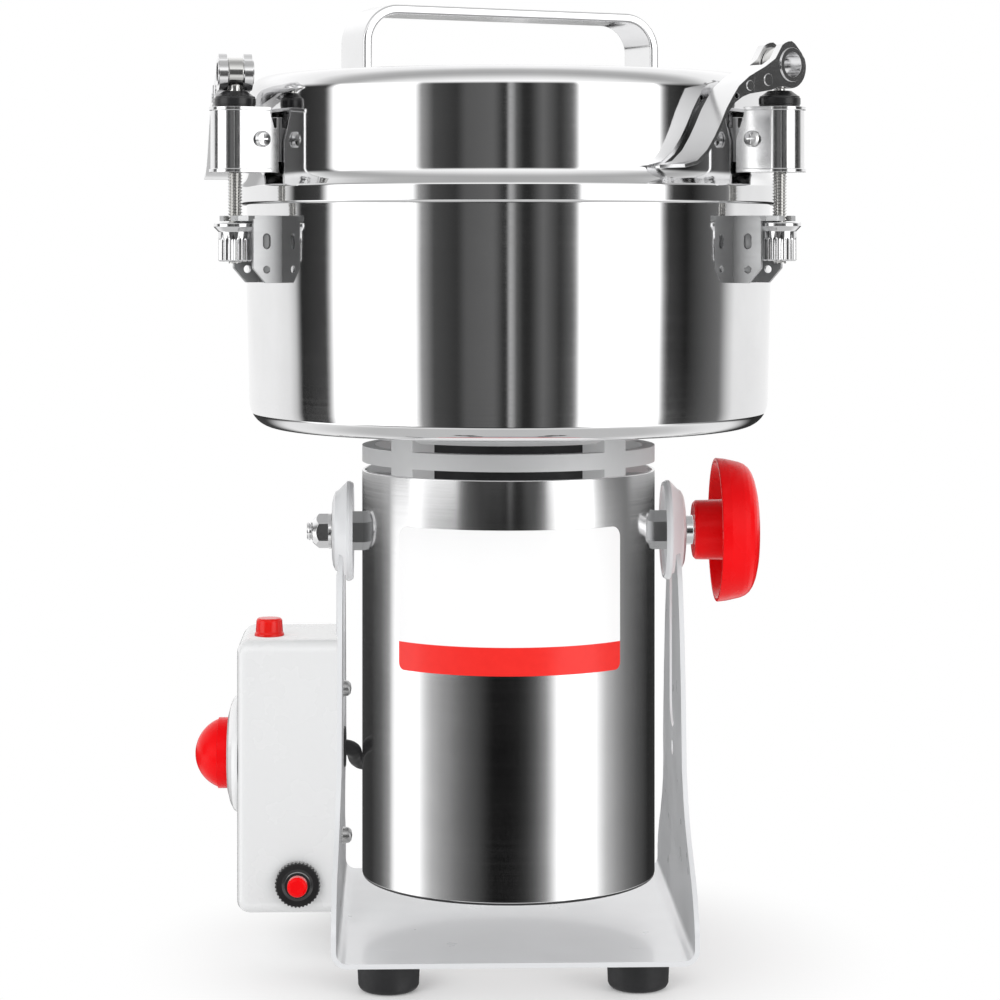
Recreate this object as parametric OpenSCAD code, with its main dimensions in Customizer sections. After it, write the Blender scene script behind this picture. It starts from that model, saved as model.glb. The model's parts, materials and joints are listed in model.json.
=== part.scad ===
// Swing-type electric powder grinder: bowl with a clamped lid on a motor that tilts in a U-shaped cradle.
// Origin on the ground under the motor axis, +Z up, front towards -Y, control box on the -X side.

/* [Cradle] */
// Height of the rubber feet
foot_h = 14.5; // [12:0.5:16]
// Sheet thickness of the cradle
sheet_t = 2; // [1.5:0.1:2.5]
// Half width of the cradle at its base
cradle_hw = 73.8; // [73.4:0.1:75]
// Half depth of the base plate
base_hd = 85; // [82:1:90]
// Height of the swing axis
axis_z = 180.6; // [176:0.2:184]
// Radius of the pressed dish at the top of each arm
dish_r = 21.3; // [21:0.1:22]

/* [Control box] */
// Width of the control box
box_w = 41.2; // [38:0.1:46]
// Half depth of the control box
box_hd = 27.6; // [26.6:0.2:34]
// Bottom of the control box
box_z0 = 22.5; // [20:0.5:24]
// Top of the control box
box_z1 = 137.5; // [130:0.5:140]
// Diameter of the power button
button_d = 30; // [28:0.1:30.6]

/* [Motor] */
// Outer radius of the polished motor sleeve
sleeve_r = 62.8; // [61:0.1:63]
// Bottom of the motor sleeve
sleeve_z0 = 34.8; // [33:0.2:38]
// Top of the motor sleeve
sleeve_z1 = 207.4; // [205:0.2:207.4]
// Radius of the motor shaft
shaft_r = 5; // [4.5:0.1:5]

/* [Bowl and lid] */
// Outer radius of the bowl and the lid
bowl_r = 112.2; // [111:0.1:112.3]
// Underside of the bowl
bowl_z0 = 226; // [225.6:0.1:226.4]
// Wall thickness of the bowl and the lid
wall_t = 1.2; // [1:0.1:1.4]
// Outer radius of the lid skirt
skirt_r = 115.5; // [115.3:0.1:116]
// Top of the lid
lid_z1 = 374.5; // [373:0.5:375]
// Top of the carrying handle
handle_z = 404; // [400:1:412]
// Width of the handle strap
handle_w = 25; // [20:1:30]
// Turn of the handle about the vertical axis
handle_a = 24; // [0:1:40]

/* [Clamps] */
// Radius on which the clamp rods stand
rod_r = 128; // [127.8:0.1:128.2]
// Radius of the clamp rod
rod_d2 = 2.95; // [2.9:0.01:2.95]
// Height of the cam lever pin
pin_z = 376.5; // [376.3:0.1:376.8]
// Width of the lever strap
lever_w = 14; // [13.8:0.1:16]

/* [Hidden] */
$fn = 96;

clamp_a = [-32.5, 207.5, 87.5];
pivot_r = 120.6;
pivot_z = 346.5;
plate_z1 = foot_h + sheet_t;
arm_out = cradle_hw - 1.2;
arm_in = arm_out - sheet_t;
dish_out = 75.6;
dish_in = dish_out - sheet_t;
box_x0 = -cradle_hw - box_w;
rib_d = 1;
btn_z = 85.7;
rst_x = -89.3;
rst_z = 35.7;
lens_x = -102;
lens_y = -12;
feet_xy = [[-51, -60], [51, -60], [-51, 60], [51, 60]];
box_screw_z = [50, 113];
lead_z = 88;

function arc(cx, cy, r, a0, a1, n = 8) = [for (i = [0:n]) let (a = a0 + (a1 - a0) * i / n) [cx + r * cos(a), cy + r * sin(a)]];
function mirror_y(p) = [for (i = [len(p) - 1:-1:0]) [-p[i][0], p[i][1]]];

// Turned shapes: points are [radius, distance along the axis]
module zlathe(p) rotate_extrude($fn = 180) polygon(p);
module xlathe(p) rotate([0, 90, 0]) rotate_extrude($fn = 120) polygon(p);
module ylathe(p) rotate([-90, 0, 0]) rotate_extrude($fn = 96) polygon(p);
module xcyl(r, x0, x1, y = 0, z = 0) translate([x0, y, z]) rotate([0, 90, 0]) cylinder(r = r, h = x1 - x0);
module ycyl(r, y0, y1, x = 0, z = 0) translate([x, y0, z]) rotate([-90, 0, 0]) cylinder(r = r, h = y1 - y0);
module zcyl(r, z0, z1, x = 0, y = 0) translate([x, y, z0]) cylinder(r = r, h = z1 - z0);
module box(p0, p1) translate(p0) cube(p1 - p0);
module at_clamp(i) rotate([0, 0, clamp_a[i]]) children();
// A plate standing in the plane x = const: 2D points are [y, z]
module xplate(x0, x1) translate([x0, 0, 0]) rotate([90, 0, 90]) linear_extrude(height = x1 - x0) children();

// ---- cradle -------------------------------------------------------------

arm_half = [[base_hd, foot_h - 1], [base_hd, 26], [82.5, 32], [76, 40], [67.5, 47.5], [58.5, 55.5], [51, 64], [46, 74], [43.5, 86], [42, 98], [39, 118], [34, 140], [27.5, 158], [22.4, axis_z - 13.5], [17, axis_z - 8.5]];
module arm_outline() polygon(concat(arm_half, mirror_y(arm_half)));
// Side view of the bent sheet, half of it: [x, z]
module sheet_profile() polygon(concat(
  [[-1, foot_h]], arc(cradle_hw - 6.5, foot_h + 6.5, 6.5, -90, 0, 6), [[cradle_hw, 45], [arm_out, 85], [arm_out, axis_z + 5], [arm_in, axis_z + 5], [arm_in, 85.1], [cradle_hw - sheet_t, 45.1]],
  arc(cradle_hw - 6.5, foot_h + 6.5, 6.5 - sheet_t, 0, -90, 6), [[-1, plate_z1]]));

module arm(s) mirror([s < 0 ? 1 : 0, 0, 0]) {
  difference() {
    union() {
      intersection() {
        translate([0, base_hd, 0]) rotate([90, 0, 0]) linear_extrude(height = 2 * base_hd) sheet_profile();
        xplate(-5, 90) arm_outline();
      }
      // stiffening rib pressed outwards
      xplate(arm_out - 0.5, arm_out + rib_d) rib_outline(13.5);
      // domed dish round the swing axis
      translate([0, 0, axis_z]) xlathe([[0, dish_in], [12.6, dish_in], [14.6, dish_in - 0.7], [15.8, dish_in - 2.4], [17, dish_in - 4], [18.6, dish_in - 5.2], [19.2, dish_in - 6.4], [19.2, dish_in - 7],
        [dish_r - 0.8, dish_in - 7], [dish_r, dish_in - 5.6], [dish_r, dish_in - 4.4], [dish_r - 1.8, dish_in - 2.6], [17.8, dish_in - 1], [16.8, dish_in + 0.6], [14.8, dish_out - 0.4], [12.2, dish_out], [0, dish_out]]);
    }
    translate([0, 0, axis_z]) xlathe([[0, 60], [19.19, 60], [19.19, dish_in - 6.41], [18.59, dish_in - 5.21], [16.99, dish_in - 4.01], [15.79, dish_in - 2.41], [14.59, dish_in - 0.71], [12.59, dish_in - 0.01], [0, dish_in - 0.01]]);
    xplate(arm_in - 1, arm_in + rib_d) rib_outline(12);
    xcyl(4.1, 60, 80, 0, axis_z);
  }
}
module rib_outline(r) { translate([0, 108]) circle(r = r); translate([-r, 108]) square([2 * r, 55]); }

module cradle() color([0.86, 0.87, 0.88]) difference() {
  union() { for (s = [-1, 1]) arm(s); }
  for (p = feet_xy) zcyl(2.5, foot_h - 1, plate_z1 + 1, p[0], p[1]);
  for (z = box_screw_z) xcyl(2, -80, -60, 0, z);
  xcyl(6.2, -80, -60, 0, lead_z);
  xcyl(3.2, 66, 80, 0, 87);
}

module rubber_feet() color([0.06, 0.06, 0.065]) for (p = feet_xy) translate([p[0], p[1], 0])
  zlathe([[6, 0], [10.2, 0], [11.6, 0.6], [12.4, 2.2], [12.9, foot_h - 1.5], [12.9, foot_h], [2.5, foot_h], [2.5, 6], [6, 6]]);

module foot_screws() color([0.7, 0.71, 0.73]) for (p = feet_xy) translate([p[0], p[1], 0])
  zlathe([[0, 3], [4.6, 3], [5, 3.6], [5, 6], [2.5, 6], [2.5, plate_z1], [0, plate_z1]]);

// ---- control box --------------------------------------------------------

module rounded_box(x0, x1, hd, z0, z1, r) {
  // edges running away from the arm are rounded, the open side is flat
  translate([x0, 0, 0]) rotate([90, 0, 90]) linear_extrude(height = x1 - x0)
    polygon(concat(arc(hd - r, z0 + r, r, -90, 0, 5), arc(hd - r, z1 - r, r, 0, 90, 5), arc(-hd + r, z1 - r, r, 90, 180, 5), arc(-hd + r, z0 + r, r, 180, 270, 5)));
}

module control_box() color([0.93, 0.935, 0.94]) difference() {
  // the edges are rounded in small steps: distance from the outer face, inset of the outline
  union() for (k = [[5.5, 0], [3.2, 0.5], [1.6, 1.6], [0.5, 3.2], [0, 4.2]])
    rounded_box(box_x0 + k[0], k[0] > 5 ? -cradle_hw : -cradle_hw - 1, box_hd - k[1], box_z0 + k[1], box_z1 - k[1], 5.5 - k[1] * 0.6);
  rounded_box(box_x0 + 3.4, -cradle_hw - 1.5, box_hd - 2, box_z0 + 2, box_z1 - 2, 3.5);
  rounded_box(box_x0 + 2, -cradle_hw - 2, box_hd - 4, box_z0 + 4, box_z1 - 4, 2.5);
  for (z = box_screw_z) xcyl(2, -80, -60, 0, z);
  xcyl(6.2, -80, -60, 0, lead_z);
  xcyl(14.2, box_x0 - 1, box_x0 + 3, 0, btn_z);
  ycyl(5.5, -box_hd - 1, -box_hd + 3, rst_x, rst_z);
  zcyl(4.2, box_z1 - 3, box_z1 + 1, lens_x, lens_y);
  ycyl(6, box_hd - 3, box_hd + 1, -93, 45);
}

// Screws hold the box on the arm from its inner side
module box_screws() color([0.3, 0.3, 0.31]) for (z = box_screw_z) translate([0, 0, z]) {
  inner = z < 60 ? -cradle_hw + sheet_t + 0.5 : -arm_in - rib_d;
  xlathe([[0, -82], [1.98, -82], [1.98, inner], [3.5, inner], [3.5, inner + 1.4], [3.2, inner + 2.8], [2.3, inner + 3.8], [0, inner + 4.2]]);
}

module switch_bezel() color([0.9, 0.905, 0.91]) translate([0, 0, btn_z])
  xlathe([[16, box_x0], [25.1, box_x0], [25, box_x0 - 1], [23.9, box_x0 - 2.4], [20.8, box_x0 - 3.9], [16.6, box_x0 - 4.9], [16, box_x0 - 5], [15.5, box_x0 - 5]]);

module switch_body() color([0.16, 0.16, 0.17]) translate([0, 0, btn_z]) difference() {
  union() {
    xcyl(14.1, box_x0 + 0.3, box_x0 + 6);
    box([box_x0 + 2, -15, -15], [box_x0 + 27, 15, 15]);
  }
  xcyl(11.9, box_x0 - 2, box_x0 + 9);
}

module power_button() color([0.86, 0.03, 0.04]) translate([0, 0, btn_z])
  xlathe(concat([[0, box_x0 - 3.2], [button_d / 2, box_x0 - 3.2], [button_d / 2, box_x0 - 9.2]],
    arc(0, box_x0 - 3.8, 15.4, -21, -90, 9)), $fn = 96);
module power_button_stem() color([0.86, 0.03, 0.04]) translate([0, 0, btn_z]) xcyl(11.6, box_x0 - 3.2, box_x0 + 5);

module breaker_body() color([0.1, 0.1, 0.11]) difference() {
  union() {
    box([rst_x - 8, -box_hd + 2, rst_z - 7], [rst_x + 8, -box_hd + 24, rst_z + 17]);
    ycyl(5.4, -box_hd - 4.4, -box_hd + 3, rst_x, rst_z);
  }
  ycyl(4.3, -box_hd - 5, -box_hd + 10, rst_x, rst_z);
}

module breaker_nut() color([0.05, 0.05, 0.055]) difference() {
  ycyl(9.6, -box_hd - 3.6, -box_hd, rst_x, rst_z);
  ycyl(5.4, -box_hd - 5, -box_hd + 1, rst_x, rst_z);
  for (i = [0:35]) translate([rst_x, -box_hd - 4, rst_z]) rotate([-90, 0, 0]) rotate([0, 0, 10 * i]) translate([9.75, 0, -0.1]) cylinder(r = 0.42, h = 5, $fn = 6);
}

module reset_button() color([0.86, 0.05, 0.04])
  ycyl(4.2, -box_hd - 8.4, -box_hd + 4, rst_x, rst_z);

module indicator_lens() color([0.85, 0.08, 0.05]) translate([lens_x, lens_y, 0]) {
  zlathe([[0, box_z1 - 8], [4.1, box_z1 - 8], [4.1, box_z1], [6.35, box_z1], [6.2, box_z1 + 1], [5.6, box_z1 + 6.7], [5.1, box_z1 + 7.4], [0, box_z1 + 7.6]]);
}

module cord_gland() color([0.05, 0.05, 0.055]) translate([-93, 0, 45]) difference() {
  union() {
    ylathe([[0, box_hd - 2], [9, box_hd - 2], [9, box_hd - 6], [6, box_hd - 6], [0, box_hd - 6]]);
    ycyl(6, box_hd - 3, box_hd);
    ylathe([[0, box_hd], [9.5, box_hd], [9.5, box_hd + 3], [8, box_hd + 4], [6.6, box_hd + 13], [0, box_hd + 13]]);
  }
  ycyl(3.6, box_hd - 8, box_hd + 20);
}

module lead_grommet() color([0.05, 0.05, 0.055]) translate([0, 0, lead_z]) difference() {
  xlathe([[0, -cradle_hw - 1.5], [6.2, -cradle_hw - 1.5], [6.2, -arm_in + 0.05], [8.8, -arm_in + 0.05], [8.8, -arm_in + 0.5], [8.2, -arm_in + 0.9], [0, -arm_in + 0.9]]);
  xlathe([[0, -90], [3.1, -90], [3.1, -73.5], [5.6, -arm_in + 0.9], [5.7, -arm_in + 2], [0, -arm_in + 2]]);
}

// ---- motor housing ------------------------------------------------------

lead_pts = [[-79, 0, 88], [-73.5, 0, 88], [-70.6, 0.3, 87.8], [-68, 1.9, 86.9], [-66.5, 5, 85.2], [-66.2, 9.2, 82.9], [-65.6, 14, 80.3], [-64, 19, 78.1], [-62.2, 23, 77], [-60.3, 25.4, 77], [-58.2, 25.6, 77], [-54.5, 24, 77]];
// One ring of 8 points round each point of the route
function unit(v) = v / norm(v);
function tube_ring(p, i, r) = let (a = p[max(i - 1, 0)], b = p[min(i + 1, len(p) - 1)], t = unit(b - a), u = unit(cross(t, [0, 0, 1])), w = cross(u, t))
  [for (k = [0:7]) p[i] + r * (cos(45 * k) * u + sin(45 * k) * w)];
module tube(p, r) {
  n = len(p);
  pts = [for (i = [0:n - 1]) each tube_ring(p, i, r)];
  sides = [for (i = [0:n - 2], k = [0:7]) [8 * i + k, 8 * i + (k + 1) % 8, 8 * (i + 1) + (k + 1) % 8, 8 * (i + 1) + k]];
  polyhedron(pts, concat(sides, [[for (k = [7:-1:0]) k]], [[for (k = [0:7]) 8 * (n - 1) + k]]), convexity = 4);
}
module motor_lead() color([0.05, 0.05, 0.055]) tube(lead_pts, 3);

module motor_sleeve() color([0.62, 0.63, 0.65]) difference() {
  zcyl(sleeve_r, sleeve_z0, sleeve_z1);
  zcyl(sleeve_r - 1.2, sleeve_z0 - 1, sleeve_z1 + 1);
  for (s = [-1, 1]) xcyl(4.05, s > 0 ? 58 : -66, s > 0 ? 66 : -58, 0, axis_z);
  rotate([0, 0, 156.5]) xcyl(5.5, 58, 66, 0, 77);
}

module label_plate() color([0.95, 0.95, 0.95]) intersection() {
  difference() {
    zcyl(sleeve_r + 0.35, 127.6, 187);
    zcyl(sleeve_r, 127, 188);
  }
  rotate([0, 0, -1.4]) translate([0, 0, 157.3]) rotate([90, 0, 0]) linear_extrude(height = 70)
    polygon(concat(arc(41.6, -26.5, 3, -90, 0, 5), arc(40.6, 25.5, 4, 0, 90, 5), arc(-40.6, 25.5, 4, 90, 180, 5), arc(-41.6, -26.5, 3, 180, 270, 5)));
}

module bottom_cover() color([0.2, 0.2, 0.21]) difference() {
  union() {
    zcyl(sleeve_r - 1.2, sleeve_z0 - 0.75, sleeve_z0 + 2.6);
    zcyl(sleeve_r - 0.2, sleeve_z0 - 0.75, sleeve_z0 - 0.05);
    difference() { zcyl(sleeve_r - 1.2, sleeve_z0 + 2, sleeve_z0 + 9); zcyl(sleeve_r - 3, sleeve_z0 + 1.5, sleeve_z0 + 10); }
  }
  for (a = [0:30:330]) rotate([0, 0, a]) box([26, -2.2, sleeve_z0 - 1], [50, 2.2, sleeve_z0 + 4]);
}

module lower_end_bell() color([0.7, 0.71, 0.72]) difference() {
  union() {
    zlathe([[8, 41], [17, 41], [17, 50], [sleeve_r - 1.2, 50], [sleeve_r - 1.2, 54], [8, 54]]);
    for (a = [45:90:315]) rotate([0, 0, a]) box([51.5, -4.5, 54], [58.5, 4.5, 86]);
  }
  zcyl(11, 44, 55);
  zcyl(6, 40, 60);
  for (a = [0:30:330]) rotate([0, 0, a]) box([22, -2.4, 48], [42, 2.4, 56]);
  for (a = [45:90:315]) rotate([0, 0, a]) zcyl(2, 48, 56, 47, 0);
}

// Long screws join the end bell, the stator core and the neck casting
module end_bell_screws() color([0.35, 0.35, 0.37]) for (a = [45:90:315]) rotate([0, 0, a]) translate([47, 0, 0])
  zlathe([[0, 47], [3.8, 47], [3.8, 50], [2, 50], [2, 198], [0, 198]]);

module neck_casting() color([0.75, 0.755, 0.76]) difference() {
  union() {
    // bearing plate that closes the sleeve from above
    zlathe([[12, 188], [20, 188], [24, 196], [sleeve_r - 1.2, 196], [sleeve_r - 1.2, 202], [12, 202]]);
    zlathe([[12, 201], [21, 201], [19, 221], [12, 221]]);
    // mid ring
    zlathe([[57.5, 210.8], [sleeve_r, 210.8], [sleeve_r, 217.7], [57.5, 217.7]]);
    // seat plate under the bowl
    zlathe([[12, 221], [58, 221], [sleeve_r - 0.6, 223], [sleeve_r - 0.6, bowl_z0], [12, bowl_z0]]);
    // four posts
    intersection() {
      for (a = [45:90:315]) rotate([0, 0, a - 2]) box([50, -6.4, 201], [70, 6.4, 223]);
      union() {
        zcyl(sleeve_r, 207.6, 223);
        zcyl(sleeve_r - 1.2, 200, 208);
      }
    }
  }
  zcyl(13, 189, 198);
  zcyl(7, 180, 230);
  for (a = [45:90:315]) rotate([0, 0, a]) zcyl(2, 180, 198, 47, 0);
}

// Dark collar inside the neck keeps powder out of the motor
module neck_collar() color([0.05, 0.05, 0.055]) difference() {
  zcyl(49.5, 202, 221);
  zcyl(46.5, 201, 222);
}

module motor_bearings() color([0.72, 0.73, 0.75]) {
  for (z = [[44, 53], [189, 198]]) let (ro = z[0] < 100 ? 11 : 13) difference() {
    zcyl(ro, z[0], z[1]);
    zcyl(shaft_r + 0.05, z[0] - 1, z[1] + 1);
  }
}

module stator_core() color([0.32, 0.33, 0.35]) difference() {
  zcyl(54, 86, 136);
  zcyl(42, 85, 137);
  for (a = [45:90:315]) rotate([0, 0, a]) zcyl(2, 80, 140, 47, 0);
}
module stator_poles() color([0.32, 0.33, 0.35]) difference() {
  intersection() {
    zcyl(42, 86, 136);
    union() {
      for (s = [-1, 1]) box([-11, s > 0 ? 26 : -43, 86], [11, s > 0 ? 43 : -26, 136]);
      difference() { zcyl(34, 86, 136); box([-40, -14, 80], [40, 14, 140]); }
    }
  }
  zcyl(29, 85, 137);
}

module field_coils() color([0.72, 0.36, 0.14]) for (s = [-1, 1]) mirror([0, s < 0 ? 1 : 0, 0]) difference() {
  translate([0, 37.6, 111]) cube([42, 5.6, 74], center = true);
  translate([0, 37.6, 111]) cube([22, 8, 50], center = true);
  zcyl(34, 80, 145);
  difference() { zcyl(60, 85, 137); zcyl(42, 84, 138); }
}

module brush_holders() color([0.75, 0.6, 0.25]) for (s = [-1, 1]) mirror([s < 0 ? 1 : 0, 0, 0]) difference() {
  union() {
    box([20, -6, 146], [42, 6, 160]);
    box([38, -6, 136], [42, 6, 147]);
    box([38, -5, 136], [47, 5, 139]);
  }
  box([18, -4, 149], [40, 4, 157]);
}

module brushes() color([0.12, 0.12, 0.12]) for (s = [-1, 1]) mirror([s < 0 ? 1 : 0, 0, 0]) difference() {
  box([14, -3.96, 149.04], [34, 3.96, 156.96]);
  zcyl(15.3, 140, 165);
}

// ---- bowl ---------------------------------------------------------------

module bowl() color([0.8, 0.81, 0.82]) zlathe(concat(
  [[13, bowl_z0]], arc(bowl_r - 12.2, bowl_z0 + 11, 11, -90, 0, 8),
  [[bowl_r, 287], [bowl_r, 320], [bowl_r + 1.7, 322], [bowl_r + 1.7, 325.5], [bowl_r - wall_t, 325.5], [bowl_r - wall_t, 287]],
  arc(bowl_r - 12.2, bowl_z0 + 11, 11 - wall_t, 0, -90, 8),
  [[24, bowl_z0 + wall_t], [22, bowl_z0 + 5], [13, bowl_z0 + 5]]));

module bowl_brackets() color([0.72, 0.73, 0.74]) for (i = [0:2]) at_clamp(i) difference() {
  union() {
    // slotted ledge
    translate([0, 0, 313.2]) linear_extrude(height = 2.2) polygon([[105, -10.4], [124, -10.4], [126, -8.75], [130.6, -8.75], [131.5, -7.8], [131.5, 7.8], [130.6, 8.75], [126, 8.75], [124, 10.4], [105, 10.4]]);
    // two side gussets
    for (s = [-1, 1]) translate([0, s > 0 ? 10.4 : -8.8, 0]) rotate([90, 0, 0]) linear_extrude(height = 1.6)
      polygon([[105, 288], [119, 288], [124.5, 294], [124.5, 314], [105, 314]]);
    // strip along the wall between them
    box([105, -9, 288], [bowl_r + 1.4, 9, 314]);
  }
  zcyl(bowl_r, 280, 320);
  translate([0, 0, 312]) linear_extrude(height = 5) { translate([rod_r, 0]) circle(r = 3.6); translate([rod_r, -3.6]) square([10, 7.2]); }
  ycyl(1.6, -12, 12, 118.6, 293.5);
  for (z = [303.5, 306.5]) ycyl(1.7, -12, 12, 118.6, z);
  box([118.6 - 1.7, -12, 303.5], [118.6 + 1.7, 12, 306.5]);
}

module shaft_seal() color([0.08, 0.08, 0.085]) difference() {
  zlathe([[5.4, bowl_z0], [13, bowl_z0], [13, bowl_z0 + 5], [16, bowl_z0 + 5], [15, bowl_z0 + 8], [5.4, bowl_z0 + 8]]);
}

// ---- swing trunnions ----------------------------------------------------

module trunnion_blocks() color([0.55, 0.56, 0.58]) for (s = [-1, 1]) mirror([s < 0 ? 1 : 0, 0, 0]) difference() {
  intersection() {
    box([53, -11, axis_z - 7.4], [64, 11, axis_z + 11]);
    zcyl(sleeve_r - 1.2, 150, 200);
  }
  xcyl(s < 0 ? 4 : 4.05, 50, 66, 0, axis_z);
}

module pivot_bolt() color([0.78, 0.79, 0.8]) translate([0, 0, axis_z]) {
  xlathe([[0, -86.4], [3.4, -86.4], [4, -85.8], [4, -53], [7, -53], [7, -48.6], [0, -48.6]]);
}

module pivot_ring() color([0.75, 0.76, 0.77]) translate([0, 0, axis_z]) difference() {
  translate([-dish_in + 0.35, 0, 0]) rotate([0, 90, 0]) cylinder(r = 8.4, h = dish_in - 0.35 - sleeve_r + 2, $fn = 6);
  xcyl(4.05, -76, -58);
  translate([0, 0, -axis_z]) zcyl(sleeve_r, 150, 200);
}

module hex_spacer() color([0.75, 0.76, 0.77]) translate([0, 0, axis_z]) difference() {
  translate([sleeve_r - 2, 0, 0]) rotate([0, 90, 0]) cylinder(r = 8.4, h = dish_in - 0.35 - sleeve_r + 2, $fn = 6);
  xcyl(4.05, 58, 76);
  translate([0, 0, -axis_z]) zcyl(sleeve_r, 150, 200);
}

module pivot_cap_nut() color([0.8, 0.81, 0.82]) translate([0, 0, axis_z]) difference() {
  union() {
    xlathe([[3, -dish_out - 0.35], [7.6, -dish_out - 0.35], [7.6, -dish_out - 1.6], [3, -dish_out - 1.6]]);
    intersection() {
      translate([-84.5, 0, 0]) rotate([0, 90, 0]) cylinder(r = 7.4, h = 7.5, $fn = 6);
      xlathe([[0, -77], [8.6, -77], [8.6, -79.6], [7.6, -81], [4.9, -84], [0, -84]]);
    }
  }
  xcyl(4, -90, -70);
}

module lock_knob() color([0.85, 0.03, 0.06]) translate([0, 0, axis_z]) xlathe(
  [[4.0, 79.4], [11.6, 79.4], [12.7, 80.4], [12.9, 91], [13.6, 99.8], [21.6, 99.6], [25, 98.2], [27, 95.4], [28.6, 90.6], [29.2, 89.2], [31, 89.2], [30.5, 93.4], [29.2, 99.2],
  [28.3, 101.4], [26.9, 103.1], [25, 104.4], [22.6, 105.4], [18.6, 106.4], [12.4, 107.1], [6, 107.35], [0, 107.4], [0, 102.5], [4.0, 102.5]]);

module knob_stud() color([0.75, 0.76, 0.77]) translate([0, 0, axis_z]) {
  xcyl(4.0, 53.4, 102.5);
  difference() { xcyl(6.3, dish_out + 0.35, 79.4); xcyl(4.0, 70, 80); }
}

// ---- rotor --------------------------------------------------------------

module rotor_shaft() color([0.7, 0.71, 0.73]) {
  zcyl(shaft_r, 42, 264);
  zcyl(4, 264, 276);
}
module armature() color([0.42, 0.4, 0.38]) difference() {
  union() {
    zcyl(28.2, 88, 134);
    zlathe([[shaft_r, 80], [14, 80], [24, 84], [24, 138], [14, 141], [shaft_r, 141]]);
  }
  zcyl(shaft_r, 70, 150);
  for (a = [0:30:330]) rotate([0, 0, a]) box([26.6, -1.2, 87], [30, 1.2, 135]);
}
module commutator() color([0.75, 0.42, 0.2]) difference() {
  zcyl(15, 143, 163);
  zcyl(shaft_r, 140, 170);
  for (a = [0:15:345]) rotate([0, 0, a]) box([14.2, -0.3, 145], [16, 0.3, 164]);
}
module cooling_fan() color([0.14, 0.14, 0.15]) difference() {
  union() {
    zlathe([[shaft_r, 58], [11, 58], [11, 76], [shaft_r, 76]]);
    zcyl(43.5, 58, 60);
    for (a = [0:30:330]) rotate([0, 0, a]) box([9, -0.8, 59], [42.5, 0.8, 72]);
  }
  zcyl(shaft_r, 50, 80);
}

blade_half = [[0, -9], [12, -9], [86, -13], [92, -11], [97, 2], [12, 9], [0, 9]];
module blade_2d() difference() {
  union() { polygon(blade_half); rotate(180) polygon(blade_half); circle(r = 12); }
  circle(r = shaft_r);
}
module lower_blade() color([0.8, 0.81, 0.82]) translate([0, 0, 238]) rotate([0, 0, 20]) linear_extrude(height = 3) blade_2d();
module upper_blade() color([0.8, 0.81, 0.82]) translate([0, 0, 257]) rotate([0, 0, 110]) linear_extrude(height = 3) blade_2d();
module blade_spacer() color([0.74, 0.75, 0.76]) {
  difference() { zlathe([[shaft_r, 241], [10, 241], [8, 244], [8, 254], [10, 257], [shaft_r, 257]]); zcyl(shaft_r - 0.01, 240, 258); }
  difference() { zlathe([[shaft_r, 234.4], [9, 234.4], [10, 238], [shaft_r, 238]]); zcyl(shaft_r - 0.01, 230, 239); }
}
module blade_nut() color([0.78, 0.79, 0.8]) difference() {
  union() { translate([0, 0, 264]) cylinder(r = 8, h = 7, $fn = 6); zcyl(9.5, 260, 264); }
  zcyl(4, 263, 280);
  zcyl(shaft_r, 259, 264);
}

// ---- lid ----------------------------------------------------------------

module lid_shell() color([0.8, 0.81, 0.82]) zlathe(concat(
  [[0, lid_z1 - wall_t]], arc(bowl_r - 8.5, lid_z1 - 8.5, 8.5 - wall_t, 90, 0, 6),
  [[bowl_r - wall_t, 332], [skirt_r - wall_t, 328.2], [skirt_r - wall_t, 320.4], [skirt_r, 320.4], [skirt_r, 328.4], [bowl_r, 332.4]],
  arc(bowl_r - 8.5, lid_z1 - 8.5, 8.5, 0, 90, 6), [[0, lid_z1]]));

module lid_gasket() color([0.9, 0.9, 0.88]) zlathe([[111.2, 326], [skirt_r - wall_t, 326], [skirt_r - wall_t, 328.2], [111.2, 331.77]]);

module lid_handle() color([0.82, 0.83, 0.84]) translate([-2.6, 0, 0]) rotate([0, 0, handle_a]) translate([0, handle_w / 2, 0]) rotate([90, 0, 0]) linear_extrude(height = handle_w) difference() {
  polygon(concat([[70, lid_z1]], arc(54, handle_z - 16, 16, 0, 90, 8), arc(-54, handle_z - 16, 16, 90, 180, 8), [[-70, lid_z1]]));
  polygon(concat([[66, lid_z1 - 1]], arc(54, handle_z - 16, 12, 0, 90, 8), arc(-54, handle_z - 16, 12, 90, 180, 8), [[-66, lid_z1 - 1]]));
}

module clamp_ears() color([0.35, 0.36, 0.38]) for (i = [0:2]) at_clamp(i) difference() {
  union() {
    intersection() {
      box([105, -8.3, 337.5], [118, 8.3, 355.5]);
      zcyl(bowl_r + 1.4, 330, 360);
    }
    for (s = [-1, 1]) translate([0, s > 0 ? 8.3 : -6.2, 0]) rotate([90, 0, 0]) linear_extrude(height = 2.1) {
      translate([pivot_r, pivot_z]) circle(r = 4.6);
      translate([105, pivot_z - 4.6]) square([pivot_r - 105, 9.2]);
    }
  }
  zcyl(bowl_r, 330, 360);
  ycyl(1.75, -12, 12, pivot_r, pivot_z);
}

module ear_screws() color([0.8, 0.8, 0.82]) for (i = [0:2]) at_clamp(i) translate([pivot_r, 0, pivot_z]) for (s = [-1, 1]) mirror([0, s < 0 ? 1 : 0, 0]) difference() {
  ylathe([[0, 5], [1.75, 5], [1.75, 10.35], [3.35, 10.35], [3.35, 11.2], [2.6, 12.2], [0, 12.7]]);
  box([-2, 11.9, -0.35], [2, 14, 0.35]);
  box([-0.35, 11.9, -2], [0.35, 14, 2]);
}

// ---- swing clamps -------------------------------------------------------

module d_outline(r, x0) {
  translate([rod_r, 0]) circle(r = r);
  translate([x0, -r]) square([rod_r - x0, 2 * r]);
}

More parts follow.
